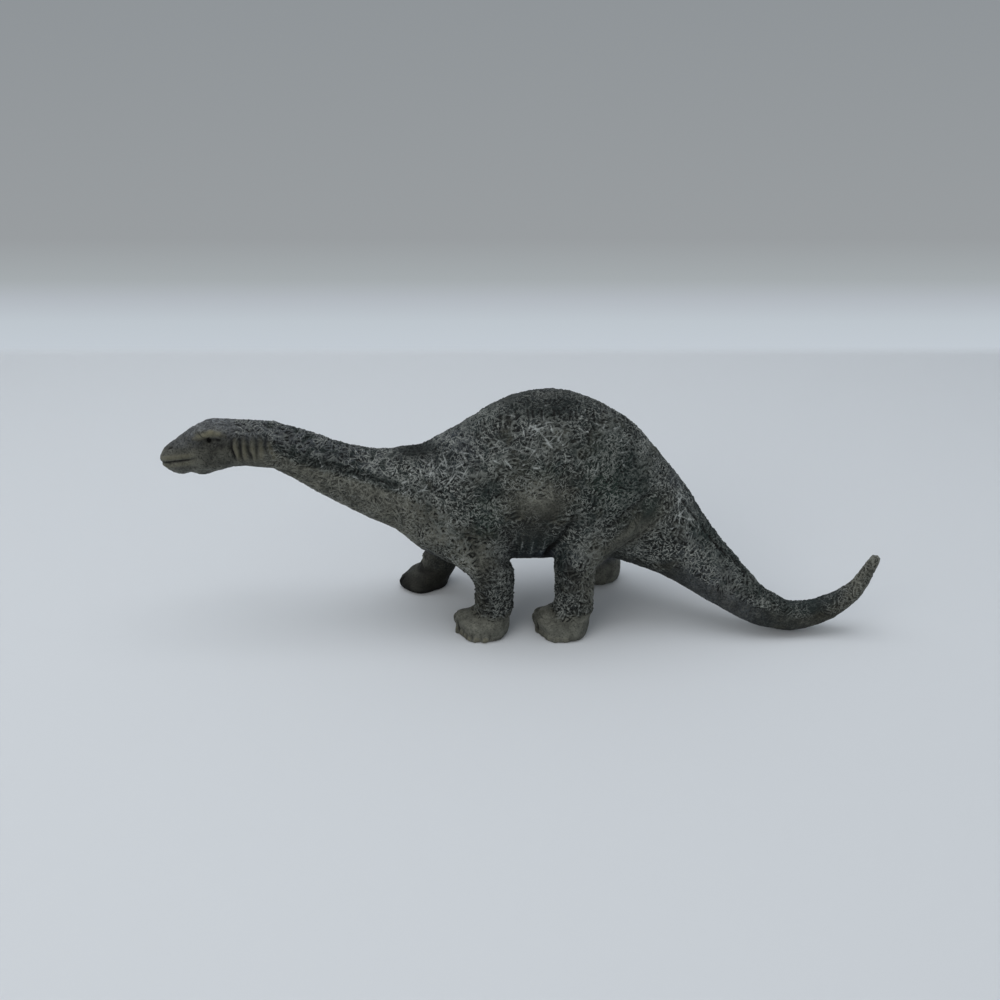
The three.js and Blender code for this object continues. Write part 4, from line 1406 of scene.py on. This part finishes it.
# %% What the coats follow
FIBRE_SHARE = 0.45  # how high a fine painted stroke counts beside a sculpted one


def paint_signals(tree):
    """All that a coat can follow, by name: the skin's own numbers, noises and fine strokes."""
    math_node = "ShaderNodeMath"
    place = add_node(tree, "ShaderNodeTexCoord").outputs["Object"]
    normal = add_node(tree, "ShaderNodeNewGeometry").outputs["Normal"]
    signals = {
        key: add_node(tree, "ShaderNodeAttribute", attribute_name=key).outputs["Fac"]
        for key in STORED
    }
    for key, size, detail in MOTTLES:
        signals[key] = add_node(
            tree,
            "ShaderNodeTexNoise",
            {"Scale": 1 / (size * MM), "Detail": detail, "Roughness": 0.6},
            {"Vector": place},
        ).outputs["Fac"]
    fine = stroke_layers(tree, place, normal, FINE_CELL, 0.9)
    signals["long"] = stroke_layers(tree, place, normal, LONG_CELL, 0.4)
    signals["covered"] = add_node(
        tree, math_node, {0: 1.0}, {1: signals["bare"]}, operation="SUBTRACT"
    ).outputs[0]
    signals["fine"] = add_node(
        tree, math_node, links={0: fine, 1: signals["covered"]}, operation="MULTIPLY"
    ).outputs[0]
    signals["height"] = add_node(
        tree,
        math_node,
        {1: FIBRE_SHARE},
        {0: signals["fine"], 2: signals["fibre"]},
        operation="MULTIPLY_ADD",
    ).outputs[0]
    signals["broken"] = share(tree, signals, "speck", 0.36, 0.6)
    signals["brushy"] = share(tree, signals, "patch", 0.62, 0.42)
    signals["shaggy"] = share(tree, signals, "hairy", 0.2, 0.95)
    return signals


print("noises:", {key: f"{size} mm" for key, size, _ in MOTTLES})

# %% [markdown]
# Soft vinyl is PVC with a softener, cast in grey. Its IOR is about 1.53, and it isn't a metal. The
# paint on it is matt, slightly chalky and a little uneven, so the roughness changes from place to
# place and the specular is low. A fine bump gives the paint its grain. A viewer sees dull skin with
# a faint shine on the ridges, and only the varnished eye is glossy.

# %% Painted vinyl
COLOUR_A, COLOUR_B, MIXED = 6, 7, 2  # the mix node's colour sockets
VINYL_IOR = 1.53
GRAIN_DEPTH = 0.22  # mm
MATT, CHALKY = 0.6, 0.78  # roughness of thick and of thin dry paint
DRY_SPECULAR = 0.16
VARNISH_ROUGHNESS, VARNISH_SPECULAR = -0.4, -0.12  # what the varnish on the eye adds to them


def painted_vinyl(name):
    """Cast vinyl with its wash and its dry-brushed coats, told where to go by its signals."""
    material, tree, output = new_material(name)
    math_node = "ShaderNodeMath"
    signals = paint_signals(tree)
    under = {}  # the first coat lies on the cast colour, and each next one on the last
    for coat, *where in LAYERS:
        colour = add_node(
            tree,
            "ShaderNodeMix",
            {COLOUR_A: paint(COATS["cast"]), COLOUR_B: paint(COATS[coat])},
            {0: share(tree, signals, *where), **under},
            data_type="RGBA",
        ).outputs[MIXED]
        under = {COLOUR_A: colour}
    relief = add_node(
        tree,
        math_node,
        {1: 0.35},
        {0: signals["grain"], 2: signals["fine"]},
        operation="MULTIPLY_ADD",
    ).outputs[0]
    bump = add_node(
        tree, "ShaderNodeBump", {"Strength": 0.7, "Distance": GRAIN_DEPTH * MM}, {"Height": relief}
    )
    dull = add_node(
        tree,
        "ShaderNodeMapRange",
        {"From Min": 0.3, "From Max": 0.7, "To Min": MATT, "To Max": CHALKY},
        {"Value": signals["speck"]},
    ).outputs[0]
    rough = add_node(
        tree,
        math_node,
        {1: VARNISH_ROUGHNESS},
        {0: signals["gloss"], 2: dull},
        operation="MULTIPLY_ADD",
    )
    shine = add_node(
        tree,
        math_node,
        {1: VARNISH_SPECULAR, 2: DRY_SPECULAR},
        {0: signals["gloss"]},
        operation="MULTIPLY_ADD",
    )
    vinyl = add_node(
        tree,
        "ShaderNodeBsdfPrincipled",
        {"IOR": VINYL_IOR, "Metallic": 0.0},
        {
            "Base Color": colour,
            "Roughness": rough.outputs[0],
            "Specular IOR Level": shine.outputs[0],
            "Normal": bump.outputs[0],
        },
    )
    tree.links.new(vinyl.outputs[0], output.inputs["Surface"])
    return material


grey_vinyl = painted_vinyl("painted_grey_vinyl")
olive_vinyl = painted_vinyl("painted_olive_vinyl")
for name in names:
    piece = cut_piece(name)
    on_leg = "leg" in name
    piece.data.materials.append(olive_vinyl if on_leg else grey_vinyl)
print("materials:", [m.name for m in bpy.data.materials])
